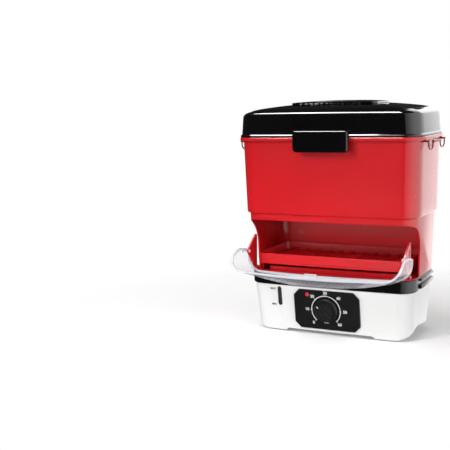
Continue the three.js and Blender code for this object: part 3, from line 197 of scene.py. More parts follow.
def rod(start, end, radius, sides=ROD_SIDES):
    """A round bar between two points."""
    start, end = Vector(start), Vector(end)
    along = end - start
    turn = along.to_track_quat("Z", "Y").to_matrix().to_4x4()
    bm = bmesh.new()
    bmesh.ops.create_cone(bm, cap_ends=True, segments=sides, radius1=radius, radius2=radius,
                          depth=along.length, matrix=Matrix.Translation((start + end) / 2) @ turn)
    return bm


def crossbar(low, high, spot, radius, sides=ROD_SIDES):
    """A round bar along x, at a spot given as y and z."""
    return rod((low, *spot), (high, *spot), radius, sides)


def post(x, y, low, high, radius, sides=ROD_SIDES):
    """A round bar that stands upright."""
    return rod((x, y, low), (x, y, high), radius, sides)


def lathe(profile, matrix, sides=TURNED_SIDES):
    """A turned piece: profile points (radius, rise) spun round the matrix's z axis."""
    bm = bmesh.new()
    verts = [bm.verts.new((r, 0, z)) for r, z in profile]
    edges = [bm.edges.new(pair) for pair in zip(verts, verts[1:])]
    bmesh.ops.spin(bm, geom=verts + edges, cent=(0, 0, 0), axis=(0, 0, 1), angle=math.tau,
                   steps=sides, use_merge=True)
    bmesh.ops.remove_doubles(bm, verts=bm.verts, dist=POINT_MERGE)
    bmesh.ops.recalc_face_normals(bm, faces=bm.faces)
    bm.transform(matrix)
    return bm


def tube(points, radius, sides=WIRE_SIDES, closed=False):
    """A wire of round section through points, turned along its way without twisting."""
    count = len(points)
    points = [Vector(p) for p in points]
    loops, side = [], None
    for i, p in enumerate(points):
        ahead = points[(i + 1) % count] if closed or i < count - 1 else p
        behind = points[i - 1] if closed or i > 0 else p
        along = (ahead - behind).normalized()
        side = side or along.orthogonal()
        side = (side - along * side.dot(along)).normalized()
        other = along.cross(side)
        loops.append([tuple(p + side * radius * math.cos(a) + other * radius * math.sin(a))
                      for a in (math.tau * k / sides for k in range(sides))])
    return rings(loops, closed=closed)


def smooth_path(points, steps):
    """Points of a Catmull-Rom line through the given points."""
    points = [Vector(p) for p in points]
    ends = [points[0] * 2 - points[1], *points, points[-1] * 2 - points[-2]]
    made = []
    for a, b, c, d in zip(ends, ends[1:], ends[2:], ends[3:]):
        slope, bend, twist = c - a, 2 * a - 5 * b + 4 * c - d, 3 * b - a - 3 * c + d
        for i in range(steps):
            t = i / steps
            made.append(0.5 * (2 * b + slope * t + bend * t ** 2 + twist * t ** 3))
    return made + [points[-1]]


def as_object(bm):
    mesh = bpy.data.meshes.new("work")
    bm.to_mesh(mesh)
    bm.free()
    obj = bpy.data.objects.new("work", mesh)
    bpy.context.scene.collection.objects.link(obj)
    return obj


def mesh_of(obj):
    """A new mesh of an object as its modifiers or its letters make it."""
    bpy.context.view_layer.update()
    return bpy.data.meshes.new_from_object(obj.evaluated_get(bpy.context.evaluated_depsgraph_get()))


def combine(bm, others, operation="DIFFERENCE"):
    """bm cut by the others, joined with them or kept where they meet; the inputs are used up."""
    base = as_object(bm)
    tools = [as_object(other) for other in others]
    for tool in tools:
        modifier = base.modifiers.new("cut", "BOOLEAN")
        modifier.operation, modifier.solver, modifier.object = operation, "MANIFOLD", tool
    result = mesh_of(base)
    made = bmesh.new()
    made.from_mesh(result)
    for obj in [base, *tools]:
        mesh = obj.data
        bpy.data.objects.remove(obj)
        bpy.data.meshes.remove(mesh)
    bpy.data.meshes.remove(result)
    return made


def cut(bm, *others):
    return combine(bm, others)


def join(bm, *others):
    return combine(bm, others, "UNION")


def meet(bm, *others):
    return combine(bm, others, "INTERSECT")


def merged(*parts):
    """Several bmeshes in one, as separate shells."""
    whole = bmesh.new()
    for part in parts:
        mesh = bpy.data.meshes.new("work")
        part.to_mesh(mesh)
        part.free()
        whole.from_mesh(mesh)
        bpy.data.meshes.remove(mesh)
    return whole


def soften(bm, width, angle=SHARP, segments=EDGE_STRIPS):
    """Rounds every edge sharper than the angle."""
    bmesh.ops.remove_doubles(bm, verts=bm.verts, dist=EDGE_MERGE)
    bmesh.ops.dissolve_limit(bm, angle_limit=math.radians(FLAT_BEND), verts=bm.verts, edges=bm.edges)
    edges = [e for e in bm.edges if e.is_manifold and e.calc_face_angle(0) > math.radians(angle)]
    return rounded(bm, edges, width, segments, clamp=True)


def moved(bm, matrix):
    bm.transform(matrix)
    return bm


def opened(bm):
    """The door's parts are made closed; this swings them down to where they rest."""
    pivot = Matrix.Translation((0, *HINGE))
    return moved(bm, pivot @ Matrix.Rotation(math.radians(DOOR_SWING), 4, "X") @ pivot.inverted())


def shade(mesh, smooth):
    """Smooth shading, with edges sharper than an angle in degrees kept sharp."""
    for polygon in mesh.polygons:
        polygon.use_smooth = True
    mesh.set_sharp_from_angle(angle=math.radians(smooth))


def place(name, bm, body, finish, stands_for=(), smooth=WIDE_BREAK):
    """Writes a bmesh as a piece that rides on a body and stands for some CAD nodes."""
    bm.transform(TO_FRAME)
    bmesh.ops.remove_doubles(bm, verts=bm.verts, dist=POINT_MERGE * MM)
    bmesh.ops.recalc_face_normals(bm, faces=bm.faces)
    mesh = bpy.data.meshes.new(name)
    bm.to_mesh(mesh)
    bm.free()
    shade(mesh, smooth)
    mesh.materials.append(finish.material)
    obj = bpy.data.objects.new(name, mesh)
    bpy.context.scene.collection.objects.link(obj)
    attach(obj, body)
    if stands_for:
        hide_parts(*stands_for)


def carry(node, finish):
    """Shows a CAD node as it is, with a finish."""
    obj = NODES[node]
    obj.data.materials.clear()
    obj.data.materials.append(finish.material)
    shade(obj.data, BREAK)


# How detailed a noise is, from smooth to broken up
SMOOTH, FINE, RICH, BROKEN = 2.0, 3.0, 4.0, 5.0


class Value:
    """A shader socket that takes sums and products as a number does."""

    def __init__(self, shading, socket):
        self.shading, self.socket = shading, socket

    def __add__(self, other):
        return self.shading.maths("ADD", self, other)

    def __sub__(self, other):
        return self.shading.maths("SUBTRACT", self, other)

    def __rsub__(self, other):
        return self.shading.maths("SUBTRACT", other, self)

    def __mul__(self, other):
        return self.shading.maths("MULTIPLY", self, other)

    __radd__, __rmul__ = __add__, __mul__

    def clipped(self):
        return self.shading.maths("MINIMUM", self.shading.maths("MAXIMUM", self, 0.0), 1.0)

    def spread(self, low, high):
        """0 below low, 1 above high."""
        return ((self - low) * (1.0 / (high - low))).clipped()


class Shading:
    """A node tree, with short ways to add nodes to it."""

    def __init__(self, tree):
        self.tree = tree

    def feed(self, entry, value):
        if isinstance(value, Value):
            self.tree.links.new(value.socket, entry)
        else:
            entry.default_value = value

    def node(self, kind, settings=(), sockets=(), output=0):
        """A node from its type, its settings and what its sockets hold, by name or by place."""
        node = self.tree.nodes.new(kind)
        for key, value in dict(settings).items():
            setattr(node, key, value)
        for key, value in dict(sockets).items():
            self.feed(node.inputs[key], value)
        return Value(self, node.outputs[output])

    def maths(self, operation, *values):
        return self.node("ShaderNodeMath", {"operation": operation}, enumerate(values))

    def mixed(self, share, first, second):
        """A colour between two others."""
        return self.node("ShaderNodeMix", {"data_type": "RGBA"}, {0: share, 6: first, 7: second}, 2)


class Finish(Shading):
    """A material whose patterns follow the object's own coordinates."""

    def __init__(self, name):
        self.material = bpy.data.materials.new(name)
        self.material.use_nodes = True
        super().__init__(self.material.node_tree)
        self.shader = self.tree.nodes["Principled BSDF"]
        self.where = self.node("ShaderNodeTexCoord", output="Object")

    def noise(self, scale, detail=FINE, stretch=None):
        """Noise about 0.5; the scale is in blobs per metre."""
        where = self.where
        if stretch:
            where = self.node("ShaderNodeVectorMath", {"operation": "MULTIPLY"}, {0: where, 1: stretch})
        return self.node("ShaderNodeTexNoise", (), {"Vector": where, "Scale": scale, "Detail": detail})

    def base(self, **sockets):
        """Sets the shader's sockets, each named with its spaces as underscores."""
        for key, value in sockets.items():
            self.feed(self.shader.inputs[key.replace("_", " ")], value)

    def bump(self, height, strength, distance):
        sockets = {"Height": height, "Strength": strength, "Distance": distance}
        self.base(Normal=self.node("ShaderNodeBump", (), sockets))


def rgb(r, g, b):
    return (r, g, b, 1.0)


WHITE_LIGHT, NO_COLOUR = rgb(1, 1, 1), rgb(0, 0, 0)

# Patterns as blobs per metre, and the spans of the noise where each one shows
FLOW, FLOW_SPAN = 9.0, (0.35, 0.7)
SMEAR, SMEAR_SPAN = 38.0, (0.48, 0.75)
SPECK, SPECK_SPAN, SPECK_PATCH, SPECK_PATCH_SPAN = 1500.0, (0.72, 0.8), 20.0, (0.45, 0.7)
SKIN, BRUSHED, STAIN, STAIN_SPAN = 60.0, 220.0, 45.0, (0.5, 0.75)
HAZE, HAZE_SPAN, RIPPLE = 26.0, (0.4, 0.8), 30.0
SCUFF, SCUFF_STRETCH, SCUFF_SPAN = 900.0, (1.0, 0.12, 1.0), (0.66, 0.8)

# Shares of a colour by which patterns change it, the slant's share being painted shade, and what they add
# to the roughness
FLOW_SHARE, SPECK_SHARE, STAIN_SHARE, STAINED_SHARE = 0.6, 0.25, 0.5, 0.7
HAZE_SHARE, SLANT_SHADE_SHARE = 0.15, 0.8
SPECK_DULL, BRUSH_DULL, STAIN_DULL, HAZE_DULL, SCUFF_DULL = 0.15, 0.16, 0.1, 0.05, 0.05

# What haze, scuffs and a slant add to a clear plastic's cover, and the darker colour it takes where it is
# hazy and, as painted shade, where it is seen at a slant
HAZE_COVER, SCUFF_COVER, SLANT_COVER, SLANT_BLEND = 0.02, 0.01, 1.2, 0.3
HAZE_AND_SLANT_SHADE_SHARES = (0.5, 0.55, 0.68)

# Bump strengths, with their depths in metres, and how rough the gloss coats are
SKIN_STRENGTH, BRUSH_STRENGTH, RIPPLE_STRENGTH = 0.35, 0.3, 0.2
BRUSH_DEPTH, RIPPLE_DEPTH, GRAIN_SHARE = 0.00002, 0.00001, 0.5
COAT_DULL, CLEAR_COAT, CLEAR_COAT_DULL = 0.05, 0.5, 0.03


def moulded(name, colour, worn, roughness, spread=0.08, coat=0.0, grain=900.0, grain_depth=0.00001):
    """Moulded plastic: flow marks in its colour, handling marks in its gloss, a fine skin."""
    f = Finish(name)
    flow = f.noise(FLOW, RICH).spread(*FLOW_SPAN)
    smears = f.noise(SMEAR, BROKEN).spread(*SMEAR_SPAN)
    specks = f.noise(SPECK, SMOOTH).spread(*SPECK_SPAN) * f.noise(SPECK_PATCH).spread(*SPECK_PATCH_SPAN)
    wear = (flow * FLOW_SHARE + specks * SPECK_SHARE).clipped()
    f.base(Base_Color=f.mixed(wear, rgb(*colour), rgb(*worn)),
           Roughness=smears * spread + specks * SPECK_DULL + roughness,
           Coat_Weight=coat, Coat_Roughness=COAT_DULL)
    f.bump(f.noise(grain, SMOOTH) * GRAIN_SHARE + f.noise(SKIN, SMOOTH), SKIN_STRENGTH, grain_depth)
    return f


def metal(name, colour, roughness, stretch):
    """Metal with fine brush marks along its stretch, and a few duller stains."""
    f = Finish(name)
    brushed = f.noise(BRUSHED, RICH, stretch)
    stains = f.noise(STAIN, RICH).spread(*STAIN_SPAN)
    stained = rgb(*(channel * STAINED_SHARE for channel in colour))
    f.base(Base_Color=f.mixed(stains * STAIN_SHARE, rgb(*colour), stained),
           Roughness=brushed * BRUSH_DULL + stains * STAIN_DULL + roughness, Metallic=1.0)
    f.bump(brushed, BRUSH_STRENGTH, BRUSH_DEPTH)
    return f


def clear(name, tint, alpha, roughness):
    """Clear plastic: hazier where it is handled, and bluer and denser where it is seen at a slant, which
    paints in shade and a reflection there.
    """
    f = Finish(name)
    haze = f.noise(HAZE, RICH).spread(*HAZE_SPAN)
    scuffs = f.noise(SCUFF, FINE, SCUFF_STRETCH).spread(*SCUFF_SPAN)
    grazing = f.node("ShaderNodeLayerWeight", (), {"Blend": SLANT_BLEND}, "Facing")
    steep = grazing * grazing
    # Darker tint: where it is hazy this is the plastic's own colour, and at a slant it is painted shade
    haze_and_slant_shade_tint = rgb(*(channel * share for channel, share in zip(tint, HAZE_AND_SLANT_SHADE_SHARES)))
    depth = (haze * HAZE_SHARE + steep * SLANT_SHADE_SHARE).clipped()
    # The cover that grows at a slant stands in for the plastic's reflection there: a painted reflection
    cover = haze * HAZE_COVER + scuffs * SCUFF_COVER + steep * grazing * SLANT_COVER + alpha
    f.base(Base_Color=f.mixed(depth, rgb(*tint), haze_and_slant_shade_tint), Alpha=cover.clipped(),
           Roughness=haze * HAZE_DULL + scuffs * SCUFF_DULL + roughness,
           Coat_Weight=CLEAR_COAT, Coat_Roughness=CLEAR_COAT_DULL)
    f.bump(f.noise(RIPPLE, SMOOTH), RIPPLE_STRENGTH, RIPPLE_DEPTH)
    return f


RED = moulded("red_moulded", (0.67, 0.012, 0.018), (0.61, 0.01, 0.015), 0.2, coat=0.55)
BLACK = moulded("black_gloss", (0.0016, 0.0016, 0.0018), (0.004, 0.004, 0.0045), 0.1,
                coat=0.6, grain_depth=0.000004)
COLLAR = moulded("black_collar", (0.002, 0.002, 0.002), (0.005, 0.005, 0.005), 0.16, 0.12, 0.4)
WHITE = moulded("white_moulded", (0.86, 0.86, 0.86), (0.81, 0.81, 0.8), 0.35)
PANEL = moulded("panel_black", (0.01, 0.01, 0.011), (0.016, 0.016, 0.017), 0.3,
                grain=2600.0, grain_depth=0.00003)
KNOB = moulded("knob_grey", (0.014, 0.014, 0.015), (0.024, 0.024, 0.025), 0.38,
               grain=2200.0, grain_depth=0.00006)
GRIP = moulded("knob_grip", (0.012, 0.012, 0.013), (0.02, 0.02, 0.02), 0.28)
WIRE = moulded("red_coated_wire", (0.36, 0.008, 0.012), (0.3, 0.007, 0.01), 0.3)
RUBBER = moulded("rubber_feet", (0.02, 0.02, 0.02), (0.035, 0.035, 0.034), 0.75,
                 grain=3000.0, grain_depth=0.00008)
PALE = moulded("pale_moulded", (0.62, 0.58, 0.48), (0.55, 0.5, 0.4), 0.5)
PRINT = moulded("white_print", (0.85, 0.85, 0.85), (0.72, 0.72, 0.72), 0.45)
GREY_PRINT = moulded("grey_print", (0.1, 0.1, 0.12), (0.18, 0.18, 0.2), 0.5)
STEEL = metal("plated_steel", (0.6, 0.6, 0.62), 0.2, (1.0, 8.0, 1.0))
ALUMINIUM = metal("cast_aluminium", (0.62, 0.62, 0.64), 0.38, (1.0, 1.0, 1.0))
CLEAR = clear("clear_door", (0.72, 0.75, 0.8), 0.02, 0.05)
# Near-white and fairly opaque: this finish paints the highlight along the clear door's edges and clips
RIM_PAINTED_HIGHLIGHT = clear("clear_rim_painted_highlight", (0.93, 0.95, 0.99), 0.6, 0.08)
GAUGE = clear("gauge_window", (0.05, 0.055, 0.06), 0.75, 0.08)
LENS = clear("red_lens", (0.75, 0.03, 0.06), 0.92, 0.1)
LENS.base(Emission_Color=rgb(0.9, 0.06, 0.09), Emission_Strength=0.15)


# Lid: bead, skirt and dome over a hollow, with a lip inside the rim. The dome's shares are of the
# skirt's half size at the edge and of the crown's rise above it
DOME_SHARES = [(1.0, -0.3), (0.997, -0.2), (0.988, -0.09), (0.972, 0.03), (0.94, 0.16),
               (0.83, 0.46), (0.56, 0.78), (0.3, 0.95), (0.1, 1.0)]
DOME_STEPS, DOME_TIP_SHARE = 4, 0.03
SKIRT_LEVELS = (335.0, 345.0, 355.0, 358.0)
HOLLOW_LEVELS = (328.2, 345.0, 355.5)
BEAD_PROUD, BEAD_TALL, BEAD_STEP, BEAD_ROUND = 1.6, 3.0, 4.2, 0.7
LIP_INSET, LIP_WALL, LIP_DROP, LIP_RISE, LIP_CORNER, LIP_ROUND = 4.9, 1.6, 6.0, 0.8, 24.0, 0.5
MOUTH_INSET, MOUTH_TOP = 3.3, 328.3

# The raised plate on the dome, its slots and the fine ribs along its front
VENT_HALF, VENT_CORNER, VENT_PROUD, VENT_ROUND = (73.0, 39.0), 10.0, 3.3, 0.5
VENT_SHOULDER_Z, VENT_LOW, WELL_RISE = 355.0, 4.0, 1.0
SLOT_COUNT, SLOT_PITCH, SLOT_HALF, SLOT_CORNER, SLOT_STEPS = 12, 7.0, (1.5, 6.0), 1.3, 4
SLOT_ROW_X, SLOT_ROW_Y, SLOT_MARGIN = -4.0, -24.0, 3.0
RIB_PITCH, RIB_Y, RIB_RADIUS, RIB_RISE = 9.0, -39.2, 0.8, 0.9
RIB_REACHES = (1.6, 2.1, 2.6, 3.1)


def row(count, pitch, middle=0.0):
    """Places in a row about its middle."""
    return [(i - (count - 1) / 2) * pitch + middle for i in range(count)]


def dome_curve():
    """The dome's shares made smooth, with a soft shoulder where it leaves the skirt."""
    points = smooth_path([(size, rise, 0) for size, rise in DOME_SHARES], DOME_STEPS)
    return [(p.x, p.y) for p in points[1:]] + [(DOME_TIP_SHARE, 1.0)]


def dome_rings(lift, distance):
    """The dome's rings, lifted by some and drawn in by a distance."""
    made = []
    for size, rise in dome_curve():
        half_x, half_y = (LID_TOP[0] - distance) * size, (LID_TOP[1] - distance) * size
        level = LID_EDGE + LID_CROWN * rise + lift
        made.append(ring((half_x, half_y, level), (CORNER - distance) * size, BOW * size))
    return made


def dome_height(x, y):
    """The dome's own height over a spot near its top, from the ring that passes there."""
    curve = sorted(dome_curve())
    size = max(abs(x) / LID_TOP[0], abs(y) / LID_TOP[1])
    for (near, high), (far, low) in zip(curve, curve[1:]):
        if near <= size <= far:
            return LID_EDGE + LID_CROWN * (high + (low - high) * (size - near) / (far - near))
    return LID_EDGE + LID_CROWN


def lid_lip():
    """The wall that drops inside the container's rim."""
    low, high = (shrunk(LID_FOOT, LIP_INSET, LID_FOOT[2] + d) for d in (-LIP_DROP, LIP_RISE))
    return rings([*fillet(low, LIP_ROUND, False, True, radius=LIP_CORNER), ring(high, LIP_CORNER),
                  inner_ring(high, LIP_WALL, LIP_CORNER), inner_ring(low, LIP_WALL, LIP_CORNER)],
                 closed=True)


def lid_shell():
    bead = (LID_FOOT[0] + BEAD_PROUD, LID_FOOT[1] + BEAD_PROUD, LID_FOOT[2] + BEAD_TALL)
    bead_foot = (bead[0], bead[1], LID_FOOT[2])
    levels = (LID_FOOT[2] + BEAD_STEP, *SKIRT_LEVELS)
    outer = [*fillet(bead_foot, BEAD_ROUND, False, True), *fillet(bead, BEAD_ROUND, True),
             *[ring(at(LID_FOOT, LID_TOP, z)) for z in levels], *dome_rings(0, 0)]
    inner = [inner_ring(at(LID_FOOT, LID_TOP, z), WALL) for z in HOLLOW_LEVELS]
    mouth = [ring(shrunk(LID_FOOT, MOUTH_INSET, z), CORNER - MOUTH_INSET)
             for z in (LID_FOOT[2] - PAST, MOUTH_TOP)]
    half_row = SLOT_PITCH * SLOT_COUNT / 2
    well = slab((SLOT_ROW_X - half_row, SLOT_ROW_Y - SLOT_MARGIN, LID_EDGE + WELL_RISE),
                (SLOT_ROW_X + half_row, SLOT_ROW_Y + SLOT_MARGIN, ABOVE_ALL))
    roof = cut(rings(outer), rings(mouth), rings(inner + dome_rings(-WALL, WALL)), well)
    return merged(roof, lid_lip())


def vent_plate():
    column = prism(round_rect(*VENT_HALF, VENT_CORNER), LID_EDGE + VENT_LOW, ABOVE_ALL)
    shoulder = ring(at(LID_FOOT, LID_TOP, VENT_SHOULDER_Z))
    raised, below = (rings([ring(LID_FOOT), shoulder, *dome_rings(lift, 0)])
                     for lift in (VENT_PROUD, SEAT))
    slots = [prism(round_rect(*SLOT_HALF, SLOT_CORNER, (x, SLOT_ROW_Y), SLOT_STEPS), LID_EDGE, ABOVE_ALL)
             for x in row(SLOT_COUNT, SLOT_PITCH, SLOT_ROW_X)]
    plate = soften(cut(meet(column, raised), below, *slots), VENT_ROUND, BLUNT)
    ribs = []
    for i, x in enumerate(row(SLOT_COUNT, RIB_PITCH, SLOT_ROW_X)):
        reach = RIB_REACHES[i % len(RIB_REACHES)]
        spot = (RIB_Y, dome_height(x, RIB_Y) + RIB_RISE)
        ribs.append(crossbar(x - reach, x + reach, spot, RIB_RADIUS, WIRE_SIDES))
    return merged(plate, *ribs)


# The lid's tab as half width, low and high edge, front and back; its neck runs into the lid
TAB_HALF, TAB_LOW, TAB_HIGH, TAB_FRONT, TAB_BACK = 46.5, 303.2, 337.7, -97.0, -85.4
TAB_LOWER_CORNER, TAB_UPPER_CORNER, TAB_ROUND, TAB_STEPS = 7.0, 4.2, 3.4, 8
NECK_LOW, NECK_HIGH, NECK_ROUND = (-30.0, -91.2, 329.3), (30.0, -81.9, 334.7), 0.4


def tab_outline():
    """The tab from the front, its lower corners rounder than its upper ones."""
    lower, upper = TAB_LOW + TAB_LOWER_CORNER, TAB_HIGH - TAB_UPPER_CORNER
    points = []
    for side, z, radius, start in ((1, lower, TAB_LOWER_CORNER, -90), (1, upper, TAB_UPPER_CORNER, 0),
                                   (-1, upper, TAB_UPPER_CORNER, 90), (-1, lower, TAB_LOWER_CORNER, 180)):
        points += turn_points((side * (TAB_HALF - radius), z), radius, start, 90, TAB_STEPS)
    return points


def lid_tab():
    plate = prism(tab_outline(), TAB_FRONT, TAB_BACK, "y")
    rims = [e for e in plate.edges if abs(e.verts[0].co.y - e.verts[1].co.y) < EDGE_MERGE]
    return merged(rounded(plate, rims, TAB_ROUND, TAB_STEPS), slab(NECK_LOW, NECK_HIGH, NECK_ROUND))


def build_lid():
    place("lid_dome", lid_shell(), "lid", BLACK, ["lid_shell"], DOME_BREAK)
    place("lid_vent_plate", vent_plate(), "lid", BLACK, ["lid_top_plate"], DOME_BREAK)
    place("lid_handle", lid_tab(), "lid", BLACK, ["lid_tab"], BREAK)
    for _, hand in SIDES:
        carry(f"lid_screw_{hand}", STEEL)


# Upper container: one wall from the floor to a rolled rim, the skirt below and steam holes
TUB_WALL, TUB_FLOOR, TUB_FOOT_ROUND, TUB_FOOT_INSET = 2.0, 2.5, 1.3, 1.5
TUB_LEVELS, TUB_INNER_LEVELS = (214.0, 240.0, 270.0, 300.0, 316.0), (300.0, 270.0, 240.0, 212.0)
TUB_FLOOR_ROUND, TUB_FLOOR_STEPS = 5.0, 5
RIM_OVER_X, RIM_OVER_Y, RIM_FOOT_ROUND, RIM_TOP_ROUND = 5.8, 5.5, 1.5, 1.8
RIM_MOUTH_INSET, RIM_MOUTH_ROUND, RIM_MOUTH_DROP = 1.2, 0.8, 0.9
STEAM_COLUMNS, STEAM_ROWS, STEAM_PITCH_X, STEAM_PITCH_Y, STEAM_RADIUS = 5, 3, 50.0, 38.0, 5.0
STEAM_LOW = 190.0
SKIRT_DROP, SKIRT_RISE, SKIRT_OUTSIDE, SKIRT_INSIDE = 8.0, 0.6, 3.3, 6.1


def band(low, high, outside, inside):
    """A closed wall between two levels, from one distance inside the sections to a greater one."""
    return rings([inner_ring(low, outside), inner_ring(high, outside),
                  inner_ring(high, inside), inner_ring(low, inside)], closed=True)


def tub_wall():
    """The container's rings: up the outside, over the rim and down the inside to the floor."""
    over_foot, over_top = ((BOX_TOP[0] + RIM_OVER_X, BOX_TOP[1] + RIM_OVER_Y, z)
                           for z in (RIM_LOW, RIM_TOP))
    over_corner = CORNER + RIM_OVER_X
    foot = shrunk(BOX_FOOT, TUB_FOOT_INSET)
    mouth = shrunk(at(BOX_FOOT, BOX_TOP, RIM_TOP), RIM_MOUTH_INSET)
    mouth_ring = fillet(mouth, RIM_MOUTH_ROUND, True, True, radius=CORNER - RIM_MOUTH_INSET)[0]
    inner_levels = (RIM_TOP - RIM_MOUTH_DROP, *TUB_INNER_LEVELS)
    floor = shrunk(at(BOX_FOOT, BOX_TOP, BOX_FOOT[2] + TUB_FLOOR), TUB_WALL)
    return rings([
        ring(foot, CORNER - TUB_FOOT_INSET), *fillet(BOX_FOOT, TUB_FOOT_ROUND, False, True)[1:],
        *[ring(at(BOX_FOOT, BOX_TOP, z)) for z in TUB_LEVELS], ring(BOX_TOP),
        *fillet(over_foot, RIM_FOOT_ROUND, False, True, radius=over_corner),
        *fillet(over_top, RIM_TOP_ROUND, True, radius=over_corner), mouth_ring,
        *[inner_ring(at(BOX_FOOT, BOX_TOP, z), TUB_WALL) for z in inner_levels],
        *fillet(floor, TUB_FLOOR_ROUND, False, radius=CORNER - TUB_WALL, steps=TUB_FLOOR_STEPS),
    ])


def upper_container():
    top = BOX_FOOT[2] + TUB_FLOOR + PAST
    holes = [post(x, y, STEAM_LOW, top, STEAM_RADIUS)
             for x in row(STEAM_COLUMNS, STEAM_PITCH_X) for y in row(STEAM_ROWS, STEAM_PITCH_Y)]
    skirt = band(at(HOUSING_FOOT, HOUSING_TOP, HOUSING_Z - SKIRT_DROP),
                 (HOUSING_TOP[0], HOUSING_TOP[1], BOX_FOOT[2] + SKIRT_RISE), SKIRT_OUTSIDE, SKIRT_INSIDE)
    return merged(cut(tub_wall(), *holes), skirt)


# Wire handle of each side: two hanging loops with a grip between them, held by two lugs
WIRE_X, WIRE_RADIUS, WIRE_STEPS, GRIP_RADIUS = 159.6, 1.1, 6, 2.35
LOOP_Y, LOOP_HALF, LOOP_HIGH, LOOP_DROP, LOOP_ARC_STEPS = 34.0, 13.0, 7.8, 15.3, 6
WIRE_END_Y, WIRE_END_DROP, WIRE_GRIP_DROP = 47.0, 1.5, 3.7
LUG_NEAR, LUG_FAR, LUG_HALF, LUG_TALL, LUG_ROUND = 151.0, 161.0, 3.4, 3.0, 0.7


def hanging_loop(middle, level):
    """The half ellipse of one loop, as y and z."""
    angles = [math.pi * (1 + i / LOOP_ARC_STEPS) for i in range(LOOP_ARC_STEPS + 1)]
    return [(middle + LOOP_HALF * math.cos(a), level + LOOP_HIGH * (1 + math.sin(a))) for a in angles]


def wire_handle(side):
    top, grip, low = RIM_LOW - SEAT, RIM_LOW - WIRE_GRIP_DROP, RIM_LOW - LOOP_DROP
    grip_y = LOOP_Y - LOOP_HALF
    points = [(-WIRE_END_Y, top - WIRE_END_DROP), *hanging_loop(-LOOP_Y, low),
              (-grip_y, grip), (grip_y, grip), *hanging_loop(LOOP_Y, low),
              (WIRE_END_Y, top - WIRE_END_DROP)]
    wire = tube(smooth_path([(side * WIRE_X, y, z) for y, z in points], WIRE_STEPS), WIRE_RADIUS)
    bar = rod((side * WIRE_X, -grip_y, grip), (side * WIRE_X, grip_y, grip), GRIP_RADIUS)
    lugs = [beside(side, LUG_NEAR, LUG_FAR, (y - LUG_HALF, top - LUG_TALL), (y + LUG_HALF, top), LUG_ROUND)
            for y in (-WIRE_END_Y, WIRE_END_Y)]
    return merged(wire, bar, *lugs)


# Wire rack for the buns: a rounded frame with cross wires, on four feet
RACK_HALF_X, RACK_HALF_Y, RACK_CORNER, RACK_CORNER_STEPS = 138.0, 64.0, 6.0, 6
RACK_Z, RACK_FOOT, RACK_FOOT_X = BOX_FOOT[2] + 11.8, 9.0, 112.0
RACK_FRAME_RADIUS, RACK_WIRE_RADIUS, RACK_WIRES, RACK_GAPS = 1.5, 1.05, 12, 13


def bun_rack():
    frame_line = round_rect(RACK_HALF_X, RACK_HALF_Y, RACK_CORNER, steps=RACK_CORNER_STEPS)
    wires = [tube([(x, y, RACK_Z) for x, y in frame_line], RACK_FRAME_RADIUS, closed=True)]
    for x in row(RACK_WIRES, 2 * RACK_HALF_X / RACK_GAPS):
        wires.append(rod((x, -RACK_HALF_Y, RACK_Z), (x, RACK_HALF_Y, RACK_Z), RACK_WIRE_RADIUS, WIRE_SIDES))
    for x in (-RACK_FOOT_X, RACK_FOOT_X):
        for y in (-RACK_HALF_Y, RACK_HALF_Y):
            wires.append(post(x, y, RACK_Z - RACK_FOOT, RACK_Z, RACK_FRAME_RADIUS, RACK_FOOT_SIDES))
    return merged(*wires)


def build_container():
    place("container_tub", upper_container(), "container", RED, ["upper_container"], BREAK)
    place("wire_rack", bun_rack(), "container", STEEL, ["bun_rack"])
    for side, hand in SIDES:
        place(f"wire_handle_{hand}", wire_handle(side), "container", WIRE,
              [f"side_handle_{hand}"])


# Lower housing with its front opening, ledge, locating skirt and hinge lugs
SILL_Z = COLLAR_Z + 1.5
OPENING_DROP, OPENING_REAR, OPENING_FRONT, OPENING_RADIUS, OPENING_STEPS = 11.0, -30.0, -120.0, 44.0, 20
HOUSING_LEVELS, HOUSING_INNER_LEVELS = (112.0, 130.0, 150.0, 170.0, 185.0), (185.0, 150.0, 112.0)
HOUSING_FOOT_INSET, HOUSING_FOOT_RISE, HOUSING_TOP_ROUND, HOUSING_EDGE_ROUND = 0.4, 0.5, 1.6, 0.5
LEDGE_OUTSIDE, LEDGE_WIDTH, LEDGE_CORNER = 1.2, 17.0, 9.0
PLUG_INSET, PLUG_WALL, PLUG_DROP = 3.2, 2.0, 5.0
HINGE_LUG_NEAR, HINGE_LUG_FAR, HINGE_LUG_RADIUS, HINGE_LUG_BORE = 128.7, 131.5, 3.4, 1.65
HINGE_LUG_SINK, BORE_PAST = 0.8, 2.0


def opening(margin, bottom):
    """The front opening seen from the side: it runs back to a round upper corner."""
    top, rear, radius = HOUSING_Z - OPENING_DROP - margin, OPENING_REAR - margin, OPENING_RADIUS - margin
    return [(OPENING_FRONT, bottom), (rear, bottom),
            *turn_points((rear - radius, top - radius), radius, 0, 90, OPENING_STEPS), (OPENING_FRONT, top)]


def housing_walls():
    levels = (COLLAR_Z + HOUSING_FOOT_RISE, *HOUSING_LEVELS)
    walls = rings([
        inner_ring(HOUSING_FOOT, HOUSING_FOOT_INSET),
        *[ring(at(HOUSING_FOOT, HOUSING_TOP, z)) for z in levels],
        *fillet(HOUSING_TOP, HOUSING_TOP_ROUND, True), inner_ring(HOUSING_TOP, WALL),
        *[inner_ring(at(HOUSING_FOOT, HOUSING_TOP, z), WALL) for z in HOUSING_INNER_LEVELS],
        inner_ring(HOUSING_FOOT, WALL),
    ], closed=True)
    return soften(cut(walls, prism(opening(0, SILL_Z), -ACROSS, ACROSS, "x")), HOUSING_EDGE_ROUND)


def housing_ledge():
    foot, sill = HOUSING_FOOT, at(HOUSING_FOOT, HOUSING_TOP, SILL_Z)
    return rings([inner_ring(foot, LEDGE_OUTSIDE), inner_ring(sill, LEDGE_OUTSIDE),
                  ring(shrunk(sill, LEDGE_WIDTH), LEDGE_CORNER),
                  ring(shrunk(foot, LEDGE_WIDTH), LEDGE_CORNER)], closed=True)


